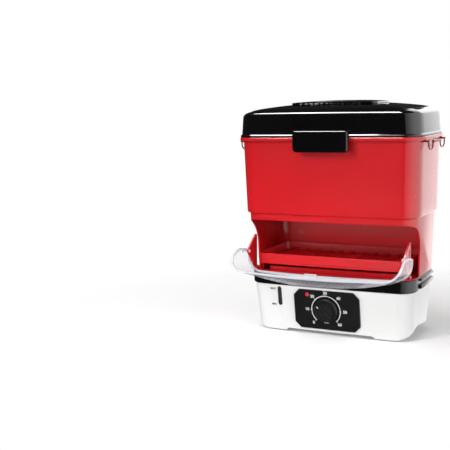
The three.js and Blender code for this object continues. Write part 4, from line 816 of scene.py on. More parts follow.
def hinge_lug(side):
    low, high = sorted((side * HINGE_LUG_NEAR, side * HINGE_LUG_FAR))
    hinge_y, hinge_z = HINGE
    web = slab((low, hinge_y - HINGE_LUG_RADIUS, SILL_Z - HINGE_LUG_SINK),
               (high, hinge_y + HINGE_LUG_RADIUS, hinge_z))
    return cut(join(web, crossbar(low, high, HINGE, HINGE_LUG_RADIUS)),
               crossbar(low - BORE_PAST, high + BORE_PAST, HINGE, HINGE_LUG_BORE))


def lower_housing():
    plug = band(at(HOUSING_FOOT, HOUSING_TOP, COLLAR_Z - PLUG_DROP), HOUSING_FOOT,
                PLUG_INSET, PLUG_INSET + PLUG_WALL)
    return merged(housing_walls(), housing_ledge(), plug, *[hinge_lug(side) for side, _ in SIDES])


# Food tray: a pan with a bowed front lip and ridges that part its troughs
TRAY_FRONT, TRAY_REAR, TRAY_LOW, TRAY_HALF, TRAY_TALL = -64.0, 58.0, 114.8, 129.0, 17.0
TRAY_WALL, TRAY_FLOOR, TRAY_CORNER, TRAY_WALL_FOOT, TRAY_ROUND = 2.0, 3.0, 12.0, 1.5, 0.6
TRAY_LIP, TRAY_LIP_STEPS, TRAY_CORNER_STEPS = 2.5, 32, 9
TROUGHS, TROUGH_PITCH = 12, 20.9
RIDGE_HALF, RIDGE_TALL, RIDGE_FOOT_HALF, RIDGE_SINK, RIDGE_INSET, RIDGE_STEPS = 4.4, 4.0, 6.0, 1.0, 1.0, 12
TRAY_HOLE_Y, TRAY_HOLE_RADIUS, TRAY_HOLE_BELOW, TRAY_HOLE_ABOVE = 30.0, 3.0, 4.0, 3.0


def tray_base_outline():
    """The tray's floor from above: a bowed front, round front corners and cut rear ones."""
    reach, lip = TRAY_HALF - TRAY_CORNER, []
    for i in range(TRAY_LIP_STEPS + 1):
        share = 2 * i / TRAY_LIP_STEPS - 1
        lip.append((reach * share, TRAY_FRONT - TRAY_LIP * (1 - share ** 2)))
    right = turn_points((reach, TRAY_FRONT + TRAY_CORNER), TRAY_CORNER, -90, 90, TRAY_CORNER_STEPS)[1:]
    left = [(-x, y) for x, y in reversed(right)]
    cut_y = TRAY_REAR - TRAY_CORNER
    rear = [(TRAY_HALF, cut_y), (reach, TRAY_REAR), (-reach, TRAY_REAR), (-TRAY_HALF, cut_y)]
    return lip + right + rear + left


def ridge(x):
    """A wave of one ridge, from front to rear."""
    floor = TRAY_LOW + TRAY_FLOOR
    points = [(x - RIDGE_FOOT_HALF, floor - RIDGE_SINK)]
    for i in range(RIDGE_STEPS + 1):
        share = 2 * i / RIDGE_STEPS - 1
        points.append((x + RIDGE_HALF * share, floor + RIDGE_TALL * math.cos(math.pi / 2 * share) ** 2))
    points.append((x + RIDGE_FOOT_HALF, floor - RIDGE_SINK))
    return prism(points, TRAY_FRONT + RIDGE_INSET, TRAY_REAR - RIDGE_INSET, "y")


def food_tray():
    floor, middle = TRAY_LOW + TRAY_FLOOR, (TRAY_FRONT + TRAY_REAR) / 2
    depth, inner_corner = (TRAY_REAR - TRAY_FRONT) / 2, TRAY_CORNER - TRAY_WALL
    top = TRAY_LOW + TRAY_TALL
    outside = round_rect(TRAY_HALF, depth, TRAY_CORNER, (0, middle))
    inside = round_rect(TRAY_HALF - TRAY_WALL, depth - TRAY_WALL, inner_corner, (0, middle))
    walls = cut(prism(outside, TRAY_LOW + TRAY_WALL_FOOT, top), prism(inside, floor, top + PAST))
    base = prism(tray_base_outline(), TRAY_LOW, floor)
    holes = [post(x, middle + y, TRAY_LOW - TRAY_HOLE_BELOW, floor + TRAY_HOLE_ABOVE, TRAY_HOLE_RADIUS)
             for x in row(TROUGHS, TROUGH_PITCH) for y in (-TRAY_HOLE_Y, TRAY_HOLE_Y)]
    ridges = [ridge(x) for x in row(TROUGHS - 1, TROUGH_PITCH)]
    return merged(soften(cut(join(walls, base), *holes), TRAY_ROUND, segments=SLAB_STRIPS), *ridges)


# Drip tray on the housing's ledge
DRIP_HALF, DRIP_CORNER, DRIP_WALL, DRIP_TALL, DRIP_ROUND = (116.0, 56.0), 18.0, 1.6, 6.0, 0.3
DRIP_LOW, DRIP_MOUTH = COLLAR_Z + 1.8, 20.0
DRIP_HOLES, DRIP_HOLE_PITCH, DRIP_HOLE_Y, DRIP_HOLE_RADIUS = 6, 34.0, 28.0, 4.0


def drip_tray():
    inner = [half - DRIP_WALL for half in DRIP_HALF]
    pan = prism(round_rect(*DRIP_HALF, DRIP_CORNER), DRIP_LOW, DRIP_LOW + DRIP_TALL)
    hollow = prism(round_rect(*inner, DRIP_CORNER - DRIP_WALL), DRIP_LOW + DRIP_WALL, DRIP_LOW + DRIP_MOUTH)
    holes = [post(x, y, DRIP_LOW - PAST, DRIP_LOW + PAST, DRIP_HOLE_RADIUS)
             for x in row(DRIP_HOLES, DRIP_HOLE_PITCH) for y in (-DRIP_HOLE_Y, DRIP_HOLE_Y)]
    return soften(cut(pan, hollow, *holes), DRIP_ROUND)


# Clear door, made closed over the opening and swung down; its middle bulges forward
DOOR_LOW, DOOR_HIGH = HINGE[1] + 12.0, HOUSING_Z - 11.0
BULGE, BULGE_TOP, BULGE_REAR = 14.9, HOUSING_Z - 12.0, 30.0
DOOR_STEPS, DOOR_MORE_STEPS, DOOR_CAP = 20, 2, 3.0
PANE_WALL, PANE_MARGIN, PANE_FOOT = 2.0, 3.0, HINGE[1] + 14.0
FRAME_WALL, FRAME_MARGIN, FRAME_WIDE, FRAME_ROUND, FRAME_ACROSS = 3.0, 1.0, 3.0, 0.5, 149.0
CATCH_TOP, CATCH_HALF, CATCH_DEEP, CATCH_TALL = HOUSING_Z - 12.3, 10.0, 6.0, 3.4
CATCH_WALL, CATCH_ROUND, CATCH_PAST = 1.8, 0.6, 10.0


def bulge(x, y, z):
    """Moves a spot of the door's front forward, most at the middle."""
    rise = min(1.0, max(0.0, (z - DOOR_LOW) / (BULGE_TOP - DOOR_LOW)))
    across = min(1.0, abs(x) / (HOUSING_TOP[0] - CORNER / 2))
    front = min(1.0, max(0.0, (-y - BULGE_REAR) / (HOUSING_FOOT[1] - BULGE_REAR)))
    return (x, y - BULGE * math.sin(math.pi * rise) * (1 - across * across) * front, z)


def door_shell(inside):
    """The closed door's wall, all round the housing and open at both ends."""
    steps = range(-DOOR_MORE_STEPS, DOOR_STEPS + DOOR_MORE_STEPS + 1)
    sections = [at(HOUSING_FOOT, HOUSING_TOP, DOOR_LOW + (DOOR_HIGH - DOOR_LOW) * i / DOOR_STEPS)
                for i in steps]
    outer = rings([ring(section) for section in sections], reshape=bulge)
    inner = [inner_ring(section, inside) for section in sections]
    inner[0] = [(x, y, z - DOOR_CAP) for x, y, z in inner[0]]
    inner[-1] = [(x, y, z + DOOR_CAP) for x, y, z in inner[-1]]
    return cut(outer, rings(inner, reshape=bulge))


def door_pane():
    field = prism(opening(PANE_MARGIN, PANE_FOOT), -ACROSS, ACROSS, "x")
    return opened(meet(door_shell(PANE_WALL), field))


def catch_loop():
    """The flat loop at the middle of the door's upper edge."""
    edge = -at(HOUSING_FOOT, HOUSING_TOP, CATCH_TOP)[1]
    inner = CATCH_HALF - CATCH_WALL
    return cut(slab((-CATCH_HALF, edge, CATCH_TOP - CATCH_TALL), (CATCH_HALF, edge + CATCH_DEEP, CATCH_TOP),
                    CATCH_ROUND),
               slab((-inner, edge + CATCH_WALL, CATCH_TOP - CATCH_PAST),
                    (inner, edge + CATCH_DEEP - CATCH_WALL, CATCH_TOP + CATCH_PAST)))


def door_rim():
    whole = prism(opening(FRAME_MARGIN, DOOR_LOW), -FRAME_ACROSS, FRAME_ACROSS, "x")
    middle = prism(opening(FRAME_MARGIN + FRAME_WIDE, DOOR_LOW + FRAME_WIDE), -ACROSS, ACROSS, "x")
    rim = soften(meet(door_shell(FRAME_WALL), cut(whole, middle)), FRAME_ROUND)
    return opened(merged(rim, catch_loop()))


# The door's arms and the clips that hold it to them
ARM_NEAR, ARM_FAR, ARM_HALF, ARM_WEB_INSET, ARM_ROUND = 131.8, 134.6, 3.0, 0.8, 0.45
ARM_HINGE_BORE, ARM_CLIP_BORE = 1.8, 1.55
CLIP_HEAD_X, CLIP_HEAD, CLIP_HEAD_RADIUS, CLIP_RADIUS = 130.1, 1.4, 2.6, 1.26


def door_arm(side):
    low, high = sorted((side * ARM_NEAR, side * ARM_FAR))
    ends = [HINGE, ARM_TIP, ARM_CLIP]
    parts = [crossbar(low, high, end, ARM_HALF, EYE_SIDES) for end in ends]
    for start, end in ((HINGE, ARM_TIP), (ARM_TIP, ARM_CLIP), (HINGE, ARM_CLIP)):
        run, rise = end[0] - start[0], end[1] - start[1]
        link = slab((low, 0, -ARM_HALF), (high, math.hypot(run, rise), ARM_HALF))
        turn = Matrix.Rotation(math.atan2(rise, run), 4, "X")
        parts.append(moved(link, Matrix.Translation((0, *start)) @ turn))
    parts.append(prism(ends, low + ARM_WEB_INSET, high - ARM_WEB_INSET, "x"))
    bores = [crossbar(low - BORE_PAST, high + BORE_PAST, spot, radius)
             for spot, radius in ((HINGE, ARM_HINGE_BORE), (ARM_CLIP, ARM_CLIP_BORE))]
    return opened(soften(cut(join(*parts), *bores), ARM_ROUND))


def door_clip(side):
    wall = at(HOUSING_FOOT, HOUSING_TOP, ARM_CLIP[1])[0]
    outer = wall + SEAT
    pieces = [(CLIP_HEAD_X, CLIP_HEAD_X + CLIP_HEAD, CLIP_HEAD_RADIUS),
              (CLIP_HEAD_X, wall + CLIP_HEAD, CLIP_RADIUS),
              (outer, outer + CLIP_HEAD, CLIP_HEAD_RADIUS)]
    return opened(merged(*[crossbar(side * near, side * far, ARM_CLIP, radius)
                           for near, far, radius in pieces]))


def build_housing():
    place("housing_walls", lower_housing(), "housing", RED, ["lower_housing"], BREAK)
    place("drip_pan", drip_tray(), "housing", RED, ["drip_tray"], BREAK)
    place("food_tray", food_tray(), "tray", RED, ["hot_dog_tray"], BREAK)
    place("door_pane", door_pane(), "door", CLEAR, ["door_window"], BREAK)
    # The rim's near-white finish is a painted highlight along the door's edges
    place("door_rim", door_rim(), "door", RIM_PAINTED_HIGHLIGHT, [], BREAK)
    for side, hand in SIDES:
        place(f"arm_{hand}", door_arm(side), "door", RED, [f"door_arm_{hand}"], BREAK)
        # The clips carry the same painted highlight
        place(f"clip_{hand}", door_clip(side), "door", RIM_PAINTED_HIGHLIGHT,
              [f"door_clip_{hand}"], BREAK)
        carry(f"tray_rail_{hand}", RED)
        carry(f"hinge_pin_{hand}", STEEL)


# The base's sloping front, and the places of the panel, its dial and lens, and the level window on it
TILT = math.atan((BASE_TOP[1] - BASE_FOOT[1]) / (BASE_Z - FOOT_Z))
UPRIGHT = Matrix.Rotation(math.pi / 2, 4, "X")


def on_face(x, z):
    """The frame of a spot on the shell's front: x to the right, y inwards, z up the face."""
    where = Matrix.Translation((x, front_y(at(BASE_FOOT, BASE_TOP, z), x), z))
    return where @ Matrix.Rotation(TILT, 4, "X")


PANEL_X, PANEL_Z, WINDOW_X, WINDOW_Z = -2.2, 43.5, -85.5, 61.5
DIAL_X, LENS_X, LENS_Z, POINTER_ANGLE = -1.0, -32.8, 25.2, 135.0
PANEL_FRAME, WINDOW_FRAME = on_face(PANEL_X, PANEL_Z), on_face(WINDOW_X, WINDOW_Z)
DIAL_FRAME = PANEL_FRAME @ Matrix.Translation((DIAL_X, 0, 0)) @ UPRIGHT
LENS_FRAME = PANEL_FRAME @ Matrix.Translation((LENS_X, 0, LENS_Z)) @ UPRIGHT
POINTER_FRAME = DIAL_FRAME @ Matrix.Rotation(math.radians(POINTER_ANGLE), 4, "Z")

# Base shell: tapered walls, and the arches along its foot as points (x, z) and (y, z), the side one
# with a curve at its front end
SHELL_LEVELS, SHELL_ROUND, SHELL_CUT_ROUND = (10.0, 24.0, 40.0, 56.0, 70.0), 0.8, 0.4
ARCH_BELOW = -6.0
FRONT_ARCH = [(78.0, ARCH_BELOW), (78.0, 2.0), (73.0, 6.0)]
FRONT_ARCH_FROM = -80.0
SIDE_ARCH = [(-58.5, ARCH_BELOW), (77.0, ARCH_BELOW), (77.0, 10.5), (-12.0, 19.0)]
SIDE_ARCH_BEND, SIDE_ARCH_END, SIDE_ARCH_STEPS = (-31.0, 19.0), (-58.5, 2.0), 16
WINDOW_CUT, WINDOW_CUT_DEEP = (3.8, 16.8, 3.8), 8.0
PANEL_HALF_X, PANEL_HALF_Z, PANEL_CHAMFER, PANEL_POCKET_DEEP = 56.75, 33.6, 10.0, 1.2
DIAL_CUT_RADIUS, LENS_CUT_RADIUS, FACE_CUT_DEEP = 6.0, 3.0, 8.0
CORD_X, CORD_Z, CORD_CUT_RADIUS, CORD_CUT_REACH = 66.0, 34.0, 6.8, 80.0

# Screw bosses of the shell, each with a web to the side wall
BOSS_X, BOSS_Y, BOSS_LOW, BOSS_HIGH, BOSS_RADIUS = 118.0, 22.0, 25.4, 65.4, 4.0
BOSS_BORE, BOSS_BORE_LOW, BOSS_BORE_HIGH, BOSS_WEB_HALF, BOSS_WEB_FAR = 2.0, 20.0, 49.4, 1.25, 133.0
BOSS_SPOTS = [(x, y) for x in (-BOSS_X, BOSS_X) for y in (-BOSS_Y, BOSS_Y)]


def octagon(margin):
    """The panel's outline with its four corners cut off."""
    x, z, c = PANEL_HALF_X + margin, PANEL_HALF_Z + margin, PANEL_CHAMFER
    return [(-x, c - z), (c - x, -z), (x - c, -z), (x, c - z),
            (x, z - c), (x - c, z), (c - x, z), (-x, z - c)]


def front_arch():
    points = FRONT_ARCH + [(-x, z) for x, z in reversed(FRONT_ARCH)]
    return prism(points, FRONT_ARCH_FROM, 0.0, "y")


def side_arch():
    """The arch of both sides, whose front end bends down in a curve."""
    points = list(SIDE_ARCH)
    for i in range(1, SIDE_ARCH_STEPS + 1):
        t = i / SIDE_ARCH_STEPS
        points.append(tuple((1 - t) ** 2 * a + 2 * t * (1 - t) * b + t * t * c
                            for a, b, c in zip(SIDE_ARCH[-1], SIDE_ARCH_BEND, SIDE_ARCH_END)))
    return prism(points, -ACROSS, ACROSS, "x")


def boss(x, y):
    near, far = sorted((x, math.copysign(BOSS_WEB_FAR, x)))
    web = slab((near, y - BOSS_WEB_HALF, BOSS_LOW), (far, y + BOSS_WEB_HALF, BOSS_HIGH))
    return cut(join(post(x, y, BOSS_LOW, BOSS_HIGH, BOSS_RADIUS), web),
               post(x, y, BOSS_BORE_LOW, BOSS_BORE_HIGH, BOSS_BORE))


def base_shell():
    walls = rings([
        *fillet(BASE_FOOT, SHELL_ROUND, False, True),
        *[ring(at(BASE_FOOT, BASE_TOP, z)) for z in SHELL_LEVELS],
        *fillet(BASE_TOP, SHELL_ROUND, True), inner_ring(BASE_TOP, WALL),
        *[inner_ring(at(BASE_FOOT, BASE_TOP, z), WALL) for z in SHELL_LEVELS[::-1]],
        inner_ring(BASE_FOOT, WALL),
    ], closed=True)
    cutters = [
        front_arch(), side_arch(),
        moved(prism(round_rect(*WINDOW_CUT), -WINDOW_CUT_DEEP, WINDOW_CUT_DEEP, "y"), WINDOW_FRAME),
        moved(prism(octagon(SEAT), -PAST, PANEL_POCKET_DEEP, "y"), PANEL_FRAME),
        moved(rod((DIAL_X, 0, 0), (DIAL_X, FACE_CUT_DEEP, 0), DIAL_CUT_RADIUS), PANEL_FRAME),
        moved(rod((LENS_X, 0, LENS_Z), (LENS_X, FACE_CUT_DEEP, LENS_Z), LENS_CUT_RADIUS), PANEL_FRAME),
        rod((CORD_X, 0, CORD_Z), (CORD_X, CORD_CUT_REACH, CORD_Z), CORD_CUT_RADIUS),
    ]
    shell = soften(cut(walls, *cutters), SHELL_CUT_ROUND)
    return merged(shell, *[boss(x, y) for x, y in BOSS_SPOTS])


# Base plate with its foot columns, slots and screw holes, and the pads below
PLATE_LOW, PLATE_HIGH, PLATE_INSET, PLATE_ROUND = 19.3, 21.7, 3.3, 0.4
FOOT_SPOTS = [(-112.0, -36.0), (112.0, -36.0), (-100.0, 40.0), (100.0, 40.0)]
FOOT_RADIUS, PAD_BORE, PAD_BORE_TOP = 9.0, 3.8, 5.3
PLATE_SLOTS, PLATE_SLOT_PITCH, PLATE_SLOT_HALF, PLATE_CUT_TOP = 5, 10.0, (17.0, 2.0), 30.0
PAD_PROFILE = [(0, 0), (6.2, 0), (7.0, 0.6), (7.0, 1.3), (6.6, 1.7), (3.5, 1.7), (3.5, 4.6),
               (3.1, 5.0), (0, 5.0)]


def base_plate():
    section = shrunk(at(BASE_FOOT, BASE_TOP, PLATE_LOW), PLATE_INSET)
    plate = prism(outline(section[0], section[1], CORNER - WALL), PLATE_LOW, PLATE_HIGH)
    feet = [post(x, y, FOOT_Z, PLATE_HIGH, FOOT_RADIUS, BORE_SIDES) for x, y in FOOT_SPOTS]
    half_x, half_y = PLATE_SLOT_HALF
    cutters = [post(x, y, 0.0, PAD_BORE_TOP, PAD_BORE) for x, y in FOOT_SPOTS]
    cutters += [slab((-half_x, y - half_y, 0.0), (half_x, y + half_y, PLATE_CUT_TOP))
                for y in row(PLATE_SLOTS, PLATE_SLOT_PITCH)]
    cutters += [post(x, y, 0.0, PLATE_CUT_TOP, BOSS_BORE) for x, y in BOSS_SPOTS]
    return soften(cut(join(plate, *feet), *cutters), PLATE_ROUND)


# Collar with two lips on each side, given as their top and height
COLLAR_WALL, COLLAR_LEVELS, COLLAR_FOOT_ROUND, COLLAR_TOP_ROUND = 3.0, (84.0, 90.0, 97.0), 0.8, 0.9
COLLAR_LIPS, COLLAR_LIP_ROUND = ((99.4, 4.0), (89.9, 7.0)), 1.1
COLLAR_LIP_NEAR, COLLAR_LIP_FAR, COLLAR_LIP_FRONT, COLLAR_LIP_REAR = 139.7, 144.8, -29.0, 45.0


def collar_ring():
    body = rings([
        *fillet(COLLAR_LOW, COLLAR_FOOT_ROUND, False, True),
        *[ring(at(COLLAR_LOW, COLLAR_HIGH, z)) for z in COLLAR_LEVELS],
        *fillet(COLLAR_HIGH, COLLAR_TOP_ROUND, True),
        inner_ring(COLLAR_HIGH, COLLAR_WALL), inner_ring(COLLAR_LOW, COLLAR_WALL),
    ], closed=True)
    lips = [beside(side, COLLAR_LIP_NEAR, COLLAR_LIP_FAR, (COLLAR_LIP_FRONT, top - tall),
                   (COLLAR_LIP_REAR, top), COLLAR_LIP_ROUND, FINE_STRIPS)
            for side, _ in SIDES for top, tall in COLLAR_LIPS]
    return merged(body, *lips)


# Reservoir: the pool below the deck, the heater's well and the chamber behind the level window
BASIN_WALL, BASIN_ROUND = 2.4, 0.4
DECK_Z, DECK_INSET, MOUTH_Z = COLLAR_Z - 9.0, 3.3, 70.2
POOL_SPAN, POOL_LOW, POOL_CORNER = (126.0, 52.0, 0.0, 0.0), 70.5, 18.0
WELL_SPAN, WELL_LOW, WELL_BORE = (98.0, 28.0, 0.0, 22.0), 38.0, 16.0
WELL_BORE_LOW, WELL_BORE_HIGH = 30.0, 46.0
CHAMBER_SPAN, CHAMBER_LOW = (22.0, 21.0, -86.0, -31.0), 42.0
CHAMBER_SLOT, CHAMBER_SLOT_DEEP = (2.2, 15.2, 2.2), 21.0
BASIN_CORNER, BASIN_CUT_LOW = 9.0, 40.0


def basin(span, bottom, top, radius):
    """A basin's outside and its hollow; the span is its half sizes and its middle."""
    half_x, half_y, x, y = span
    inner_x, inner_y = half_x - BASIN_WALL, half_y - BASIN_WALL
    inside = round_rect(inner_x, inner_y, radius - BASIN_WALL, (x, y))
    return (prism(round_rect(half_x, half_y, radius, (x, y)), bottom, top),
            prism(inside, bottom + BASIN_WALL, top + PAST))


def basin_hollow(span, bottom):
    outside, hollow = basin(span, bottom, MOUTH_Z, BASIN_CORNER)
    outside.free()
    return hollow


def reservoir():
    deck = prism(outline(COLLAR_LOW[0] - DECK_INSET, COLLAR_LOW[1] - DECK_INSET, CORNER - DECK_INSET),
                 DECK_Z - BASIN_WALL, DECK_Z)
    pool, pool_hollow = basin(POOL_SPAN, POOL_LOW, DECK_Z, POOL_CORNER)
    upper = cut(join(deck, pool), pool_hollow,
                *[basin_hollow(span, BASIN_CUT_LOW) for span in (WELL_SPAN, CHAMBER_SPAN)])
    bore = post(WELL_SPAN[2], WELL_SPAN[3], WELL_BORE_LOW, WELL_BORE_HIGH, WELL_BORE, BORE_SIDES)
    well = cut(*basin(WELL_SPAN, WELL_LOW, MOUTH_Z, BASIN_CORNER), bore)
    slot = moved(prism(round_rect(*CHAMBER_SLOT), 0.0, CHAMBER_SLOT_DEEP, "y"), WINDOW_FRAME)
    chamber = cut(*basin(CHAMBER_SPAN, CHAMBER_LOW, MOUTH_Z, BASIN_CORNER), slot)
    return merged(*[soften(piece, BASIN_ROUND) for piece in (upper, well, chamber)])


# Level window, its gasket, the control panel and the lens
GLASS_SHAPE, GLASS_PROUD, GLASS_DEEP, GLASS_ROUND = (3.5, 16.5, 3.5), 0.3, 3.1, 0.4
GASKET_SHAPE, GASKET_NEAR, GASKET_FAR, GASKET_CUT, GASKET_ROUND = (6.1, 19.1, 3.5), 3.4, 6.4, 9.0, 0.3
PANEL_PROUD, PANEL_DEEP, PANEL_ROUND, PANEL_CUT = 1.5, 0.9, 0.5, 5.0
PANEL_DIAL_HOLE, PANEL_LENS_HOLE = 3.8, 3.7
LENS_PROFILE = [(0, -0.6), (3.4, -0.6), (3.4, 1.1), (3.2, 1.5), (2.5, 2.1), (1.3, 2.5), (0, 2.65)]


def level_window():
    glass = prism(round_rect(*GLASS_SHAPE), -GLASS_PROUD, GLASS_DEEP, "y")
    return moved(soften(glass, GLASS_ROUND), WINDOW_FRAME)


def level_gasket():
    body = cut(prism(round_rect(*GASKET_SHAPE), GASKET_NEAR, GASKET_FAR, "y"),
               prism(round_rect(*CHAMBER_SLOT), 0.0, GASKET_CUT, "y"))
    return moved(soften(body, GASKET_ROUND), WINDOW_FRAME)


def control_panel():
    holes = [rod((x, -PANEL_CUT, z), (x, PANEL_CUT, z), radius)
             for x, z, radius in ((DIAL_X, 0, PANEL_DIAL_HOLE), (LENS_X, LENS_Z, PANEL_LENS_HOLE))]
    plate = cut(prism(octagon(0), -PANEL_PROUD, PANEL_DEEP, "y"), *holes)
    return moved(soften(plate, PANEL_ROUND, BLUNT), PANEL_FRAME)


# Timer knob in the dial's frame, whose z points out of the panel
KNOB_SKIRT_PROFILE = [(3.3, 2.1), (19.6, 2.1), (20.0, 2.5), (20.0, 3.7), (19.4, 4.3),
                      (18.6, 5.0), (14.0, 5.1), (3.3, 5.1)]
KNOB_TOP_PROFILE = [(0, 11.0), (13.2, 11.0), (13.2, 11.9), (12.4, 12.1), (0, 12.1)]
KNOB_RADIUS, KNOB_LOW, KNOB_HIGH = 14.5, 4.6, 11.6
FLUTE_DEPTH, FLUTES, FLUTE_STEPS = 0.45, 36, 4
GRIP_HALF, GRIP_HALF_WIDE, GRIP_LOW, GRIP_HIGH, GRIP_ROUND, GRIP_STEPS = 15.5, 3.75, 4.0, 15.1, 0.8, 16


def fluted_outline():
    """A circle with shallow flutes all round."""
    points, count = [], FLUTES * FLUTE_STEPS
    for i in range(count):
        angle = math.tau * i / count
        r = KNOB_RADIUS - FLUTE_DEPTH * (1 - math.cos(math.tau * i / FLUTE_STEPS)) / 2
        points.append((r * math.cos(angle), r * math.sin(angle)))
    return points


def timer_knob():
    skirt = lathe(KNOB_SKIRT_PROFILE, Matrix(), KNOB_SIDES)
    body = prism(fluted_outline(), KNOB_LOW, KNOB_HIGH)
    return moved(merged(skirt, body, lathe(KNOB_TOP_PROFILE, Matrix(), KNOB_TOP_SIDES)), DIAL_FRAME)


def knob_grip():
    """The bar across the knob, square at the end that points and round at the other."""
    wide = GRIP_HALF_WIDE
    tail = turn_points((wide - GRIP_HALF, 0), wide, 90, 180, GRIP_STEPS)
    bar = prism([(GRIP_HALF, -wide), (GRIP_HALF, wide), *tail], GRIP_LOW, GRIP_HIGH)
    return moved(soften(bar, GRIP_ROUND, BLUNT, FINE_STRIPS), POINTER_FRAME)


# Generic print: the dial's arc, ticks and minutes, a bar below, the grip's mark and the level words
PRINT_LOW, PRINT_HIGH, MINUTE_LOW = 1.47, 1.56, 1.46
MINUTE_THICK, WORD_THICK, STROKE_SHARE = 0.06, 0.08, 0.025
DIAL_START, DIAL_TURN, DIAL_STEP, MINUTE_STEP, MINUTE_COUNT = 225, -270, -45, 10, 7
ARC_RADIUS, ARC_WIDTH, ARC_STEPS = 24.9, 1.3, 72
TICK_NEAR, TICK_FAR, TICK_HALF = 23.4, 27.0, 0.4
MINUTE_SIZE, MINUTE_REACH, MINUTE_MORE_REACH = 7.0, 30.0, 3.0
UNDERLINE = [(-4.0, -21.8), (4.0, -21.8), (4.0, -21.0), (-4.0, -21.0)]
GRIP_MARK = [(11.2, -0.8), (15.0, -0.8), (15.0, 0.8), (11.2, 0.8)]
GRIP_MARK_LOW, GRIP_MARK_HIGH = 15.0, 15.14
WORD_SIZE, WORDS = 4.4, (("MAX", -12.0, 12.0), ("MIN", -11.4, -15.6))


def letters(text, size, x, y, low, thick):
    """Figures or a word as a thin mesh, at (x, y) of a frame whose z points outwards."""
    curve = bpy.data.curves.new("text", "FONT")
    curve.body, curve.size, curve.extrude, curve.offset = text, size, thick / 2, size * STROKE_SHARE
    curve.align_x, curve.align_y = "CENTER", "CENTER"
    obj = bpy.data.objects.new("text", curve)
    bpy.context.scene.collection.objects.link(obj)
    mesh = mesh_of(obj)
    bm = bmesh.new()
    bm.from_mesh(mesh)
    bpy.data.objects.remove(obj)
    bpy.data.curves.remove(curve)
    bpy.data.meshes.remove(mesh)
    return moved(bm, Matrix.Translation((x, y, low + thick / 2)))


def dial_arc():
    outer, inner = (turn_points((0, 0), ARC_RADIUS + part, DIAL_START, DIAL_TURN, ARC_STEPS)
                    for part in (ARC_WIDTH / 2, -ARC_WIDTH / 2))
    return prism(outer + inner[::-1], PRINT_LOW, PRINT_HIGH)


def dial_tick(angle):
    out, across = Vector((math.cos(angle), math.sin(angle))), Vector((-math.sin(angle), math.cos(angle)))
    half = TICK_HALF
    corners = [(TICK_NEAR, -half), (TICK_FAR, -half), (TICK_FAR, half), (TICK_NEAR, half)]
    return prism([tuple(out * u + across * v) for u, v in corners], PRINT_LOW, PRINT_HIGH)


def dial_print():
    marks = [dial_arc()]
    for i in range(MINUTE_COUNT):
        angle = math.radians(DIAL_START + DIAL_STEP * i)
        reach = MINUTE_REACH + MINUTE_MORE_REACH * abs(math.cos(angle))
        marks += [dial_tick(angle), letters(str(MINUTE_STEP * i), MINUTE_SIZE, reach * math.cos(angle),
                                            reach * math.sin(angle), MINUTE_LOW, MINUTE_THICK)]
    marks.append(prism(UNDERLINE, PRINT_LOW, PRINT_HIGH))
    return moved(merged(*marks), DIAL_FRAME)


def level_words():
    words = [letters(word, WORD_SIZE, x, y, 0.0, WORD_THICK) for word, x, y in WORDS]
    return moved(merged(*words), WINDOW_FRAME @ UPRIGHT)


# CAD nodes that are shown as they are: inside the base, and its gland
CARRIED = (("heater_gasket", "rubber", RUBBER), ("heater_plate", "cast_aluminium", ALUMINIUM),
           ("heating_element", "steel", STEEL), ("thermostat", "steel", STEEL),
           ("thermal_fuse", "pale_plastic", PALE), ("terminal_block", "pale_plastic", PALE),
           ("cord_gland", "black_plastic", COLLAR), ("indicator_lamp", "pale_plastic", PALE),
           ("timer_body", "steel", STEEL), ("timer_shaft", "steel", STEEL))


def build_base():
    place("base_body", base_shell(), "base", WHITE, ["base_shell"], SHELL_BREAK)
    place("base_floor", base_plate(), "base", COLLAR, ["base_plate"])
    for i, (x, y) in enumerate(FOOT_SPOTS, 1):
        pad = lathe(PAD_PROFILE, Matrix.Translation((x, y, 0)), PAD_SIDES)
        place(f"pad_{i}", pad, "base", RUBBER, [f"foot_pad_{i}"])
        carry(f"base_screw_{i}", STEEL)
    place("collar", collar_ring(), "base", COLLAR, ["collar_ring"], BREAK)
    place("water_reservoir", reservoir(), "base", COLLAR,
          ["reservoir", "heater_well", "level_chamber"], BREAK)
    place("level_window", level_window(), "base", GAUGE, ["water_window"])
    place("level_gasket", level_gasket(), "base", RUBBER, ["window_gasket"])
    place("level_words", level_words(), "base", GREY_PRINT)
    place("panel_plate", control_panel(), "base", PANEL, ["control_panel"])
    place("dial_marks", dial_print(), "base", PRINT)
    place("lens", lathe(LENS_PROFILE, LENS_FRAME, BORE_SIDES), "base", LENS, ["indicator_lens"])
    place("knob_body", timer_knob(), "knob", KNOB, ["timer_knob"])
    place("knob_bar", knob_grip(), "knob", GRIP, [], BLUNT)
    mark = prism(GRIP_MARK, GRIP_MARK_LOW, GRIP_MARK_HIGH)
    place("knob_mark", moved(mark, POINTER_FRAME), "knob", PRINT)
    for node, slot, finish in CARRIED:
        carry(node, finish)


# Softboxes in metres: where each stands, what it faces, its width, height and radiance. Those in
# the first group light surfaces and don't show in them, and the strip only shows in reflections
LIGHTS = (
    ("key", (-0.75, -1.3, 1.15), (0, 0, 0.2), 0.6, 0.6, 12.5),
    ("front", (-0.45, -1.5, 0.27), (0, 0, 0.15), 0.9, 0.4, 4.4),
    ("chamber", (-0.25, -1.3, 0.2), (0, 0.06, 0.158), 0.5, 0.1, 0.25),
    ("side", (1.6, -0.5, 0.8), (0, 0, 0.15), 1.2, 1.0, 3.2),
    ("top", (-0.3, -0.2, 1.7), (0, 0, 0.3), 1.2, 0.9, 3.2),
)
STRIP = ("strip_top", (-0.4, -0.38, 1.6), (0, 0, 0.36), 1.0, 0.34, 26.0)
CHAMBER_SPREAD, FULL_SPREAD = 9.0, 180.0


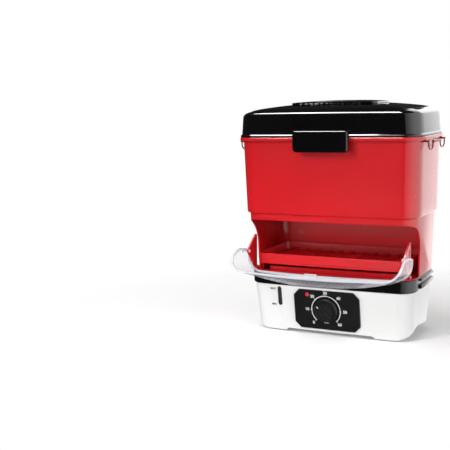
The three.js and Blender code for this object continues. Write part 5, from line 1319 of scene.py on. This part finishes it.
def softbox(name, where, target, width, height, radiance, reflected=False):
    """An area light given by its radiance; the chamber's is narrowed to a beam."""
    light = bpy.data.lights.new(name, "AREA")
    light.shape, light.size, light.size_y = "RECTANGLE", width, height
    light.energy = radiance * math.pi * width * height
    light.spread = math.radians(CHAMBER_SPREAD if name == "chamber" else FULL_SPREAD)
    obj = bpy.data.objects.new(name, light)
    obj.location = where
    obj.rotation_mode = "QUATERNION"
    obj.rotation_quaternion = (Vector(target) - Vector(where)).to_track_quat("-Z", "Y")
    obj.visible_diffuse, obj.visible_glossy, obj.visible_camera = not reflected, reflected, False
    bpy.context.scene.collection.objects.link(obj)


def build_lights():
    for light in LIGHTS:
        softbox(*light)
    softbox(*STRIP, reflected=True)


def stage_piece(name, bm, finish):
    """A piece of the studio, which isn't part of the object."""
    mesh = bpy.data.meshes.new(name)
    bm.to_mesh(mesh)
    bm.free()
    mesh.materials.append(finish.material)
    obj = bpy.data.objects.new(name, mesh)
    bpy.context.scene.collection.objects.link(obj)
    return obj


# Lit sweep round the right and back: its size in metres, and its angles in degrees from the front
SWEEP_RADIUS, SWEEP_LOW, SWEEP_HIGH, SWEEP_STEPS = 0.6, -0.4, 1.1, 40
SWEEP_START, SWEEP_TURN = 27.0, 151.0
SWEEP_STRENGTH, SWEEP_LEVEL = 2.0, 0.6
SWEEP_RISE, SWEEP_RISE_SPAN = 1.1, (35.0, 75.0)
SWEEP_FALL, SWEEP_FALL_SPAN = 0.85, (95.0, 148.0)
SWEEP_EDGE, SWEEP_EDGE_SPAN = 1.1, (148.5, 154.0)


def sweep_light():
    finish = Finish("sweep_light")
    x, y = (finish.node("ShaderNodeSeparateXYZ", (), {"Vector": finish.where}, axis) for axis in "XY")
    turn = finish.maths("ARCTAN2", x, y * -1.0) * (180.0 / math.pi)
    level = (turn.spread(*SWEEP_RISE_SPAN) * SWEEP_RISE - turn.spread(*SWEEP_FALL_SPAN) * SWEEP_FALL
             + turn.spread(*SWEEP_EDGE_SPAN) * SWEEP_EDGE + SWEEP_LEVEL)
    finish.base(Base_Color=NO_COLOUR, Roughness=1.0, Specular_IOR_Level=0.0,
                Emission_Strength=SWEEP_STRENGTH,
                Emission_Color=finish.mixed(level * (1.0 / SWEEP_STRENGTH), NO_COLOUR, WHITE_LIGHT))
    return finish


def build_sweep():
    """A lit sweep that is seen only in reflections and changes its brightness along its way."""
    bm = bmesh.new()
    start = math.radians(SWEEP_START)
    ends = [bm.verts.new((SWEEP_RADIUS * math.sin(start), -SWEEP_RADIUS * math.cos(start), z))
            for z in (SWEEP_LOW, SWEEP_HIGH)]
    bmesh.ops.spin(bm, geom=[bm.edges.new(ends)], cent=(0, 0, 0), axis=(0, 0, 1),
                   angle=math.radians(SWEEP_TURN), steps=SWEEP_STEPS)
    sweep = stage_piece("sweep", bm, sweep_light())
    sweep.visible_camera = sweep.visible_diffuse = sweep.visible_shadow = False


# White floor that fades out round the object, and the brightness of the room in each kind of ray
FLOOR_HALF, FLOOR_Z, FLOOR_FADE, FLOOR_GLOW = 3.0, -0.0002, (0.2, 0.6), 0.16
FLOOR_WHITES, FLOOR_MOTTLE, FLOOR_DULL = (rgb(0.94, 0.94, 0.94), rgb(0.97, 0.97, 0.97)), 3.0, 0.9
SEEN_STRENGTH, ROOM_STRENGTH, REFLECTED_STRENGTH = 1.0, 0.2, 0.025


def build_floor():
    bm = bmesh.new()
    bmesh.ops.create_grid(bm, x_segments=1, y_segments=1, size=FLOOR_HALF)
    bm.transform(Matrix.Translation((0, 0, FLOOR_Z)))
    finish = Finish("floor_paint")
    mottle = finish.noise(FLOOR_MOTTLE, SMOOTH)
    away = finish.node("ShaderNodeVectorMath", {"operation": "LENGTH"}, {0: finish.where}, "Value")
    finish.base(Base_Color=finish.mixed(mottle, *FLOOR_WHITES), Roughness=FLOOR_DULL,
                Specular_IOR_Level=0.0, Alpha=1.0 - away.spread(*FLOOR_FADE),
                Emission_Color=WHITE_LIGHT, Emission_Strength=FLOOR_GLOW)
    stage_piece("floor", bm, finish).visible_glossy = False


def build_room():
    """White to the camera, dim to surfaces and dark to reflections."""
    world = bpy.data.worlds.new("studio")
    bpy.context.scene.world = world
    world.use_nodes = True
    world.node_tree.nodes.remove(world.node_tree.nodes["Background"])
    room = Shading(world.node_tree)
    seen, lit, reflected = (
        room.node("ShaderNodeBackground", (), {"Color": WHITE_LIGHT, "Strength": strength})
        for strength in (SEEN_STRENGTH, ROOM_STRENGTH, REFLECTED_STRENGTH))
    to_gloss, to_camera = (room.node("ShaderNodeLightPath", output=ray)
                           for ray in ("Is Glossy Ray", "Is Camera Ray"))
    unseen = room.node("ShaderNodeMixShader", (), {0: to_gloss, 1: lit, 2: reflected})
    mixed = room.node("ShaderNodeMixShader", (), {0: to_camera, 1: unseen, 2: seen})
    room.feed(world.node_tree.nodes["World Output"].inputs["Surface"], mixed)


# The photograph's viewpoint, fitted to the object's edges: the eye in mm, and its axes
EYE = (524.58, -1389.99, 396.46)
EYE_RIGHT, EYE_UP = (0.88250, 0.46944, -0.02852), (-0.04369, 0.14221, 0.98887)
EYE_AHEAD = (-0.46828, 0.87144, -0.14601)
SENSOR_WIDTH, PHOTO_WIDTH, FOCAL_PIXELS = 36.0, 450, 887.18


def build_camera():
    data = bpy.data.cameras.new("camera")
    data.sensor_width, data.lens = SENSOR_WIDTH, SENSOR_WIDTH * FOCAL_PIXELS / PHOTO_WIDTH
    camera = bpy.data.objects.new("camera", data)
    axes = Matrix((EYE_RIGHT, EYE_UP, [-part for part in EYE_AHEAD])).transposed()
    where = Vector((EYE[0], EYE[1] + SHIFT_Y, EYE[2] + FOOT_Z)) * MM
    camera.matrix_world = Matrix.Translation(where) @ axes.to_4x4()
    bpy.context.scene.collection.objects.link(camera)
    bpy.context.scene.camera = camera


build_base()
build_housing()
build_container()
build_lid()
build_floor()
build_room()
build_lights()
build_sweep()
build_camera()
bpy.context.scene.view_settings.view_transform = "Standard"
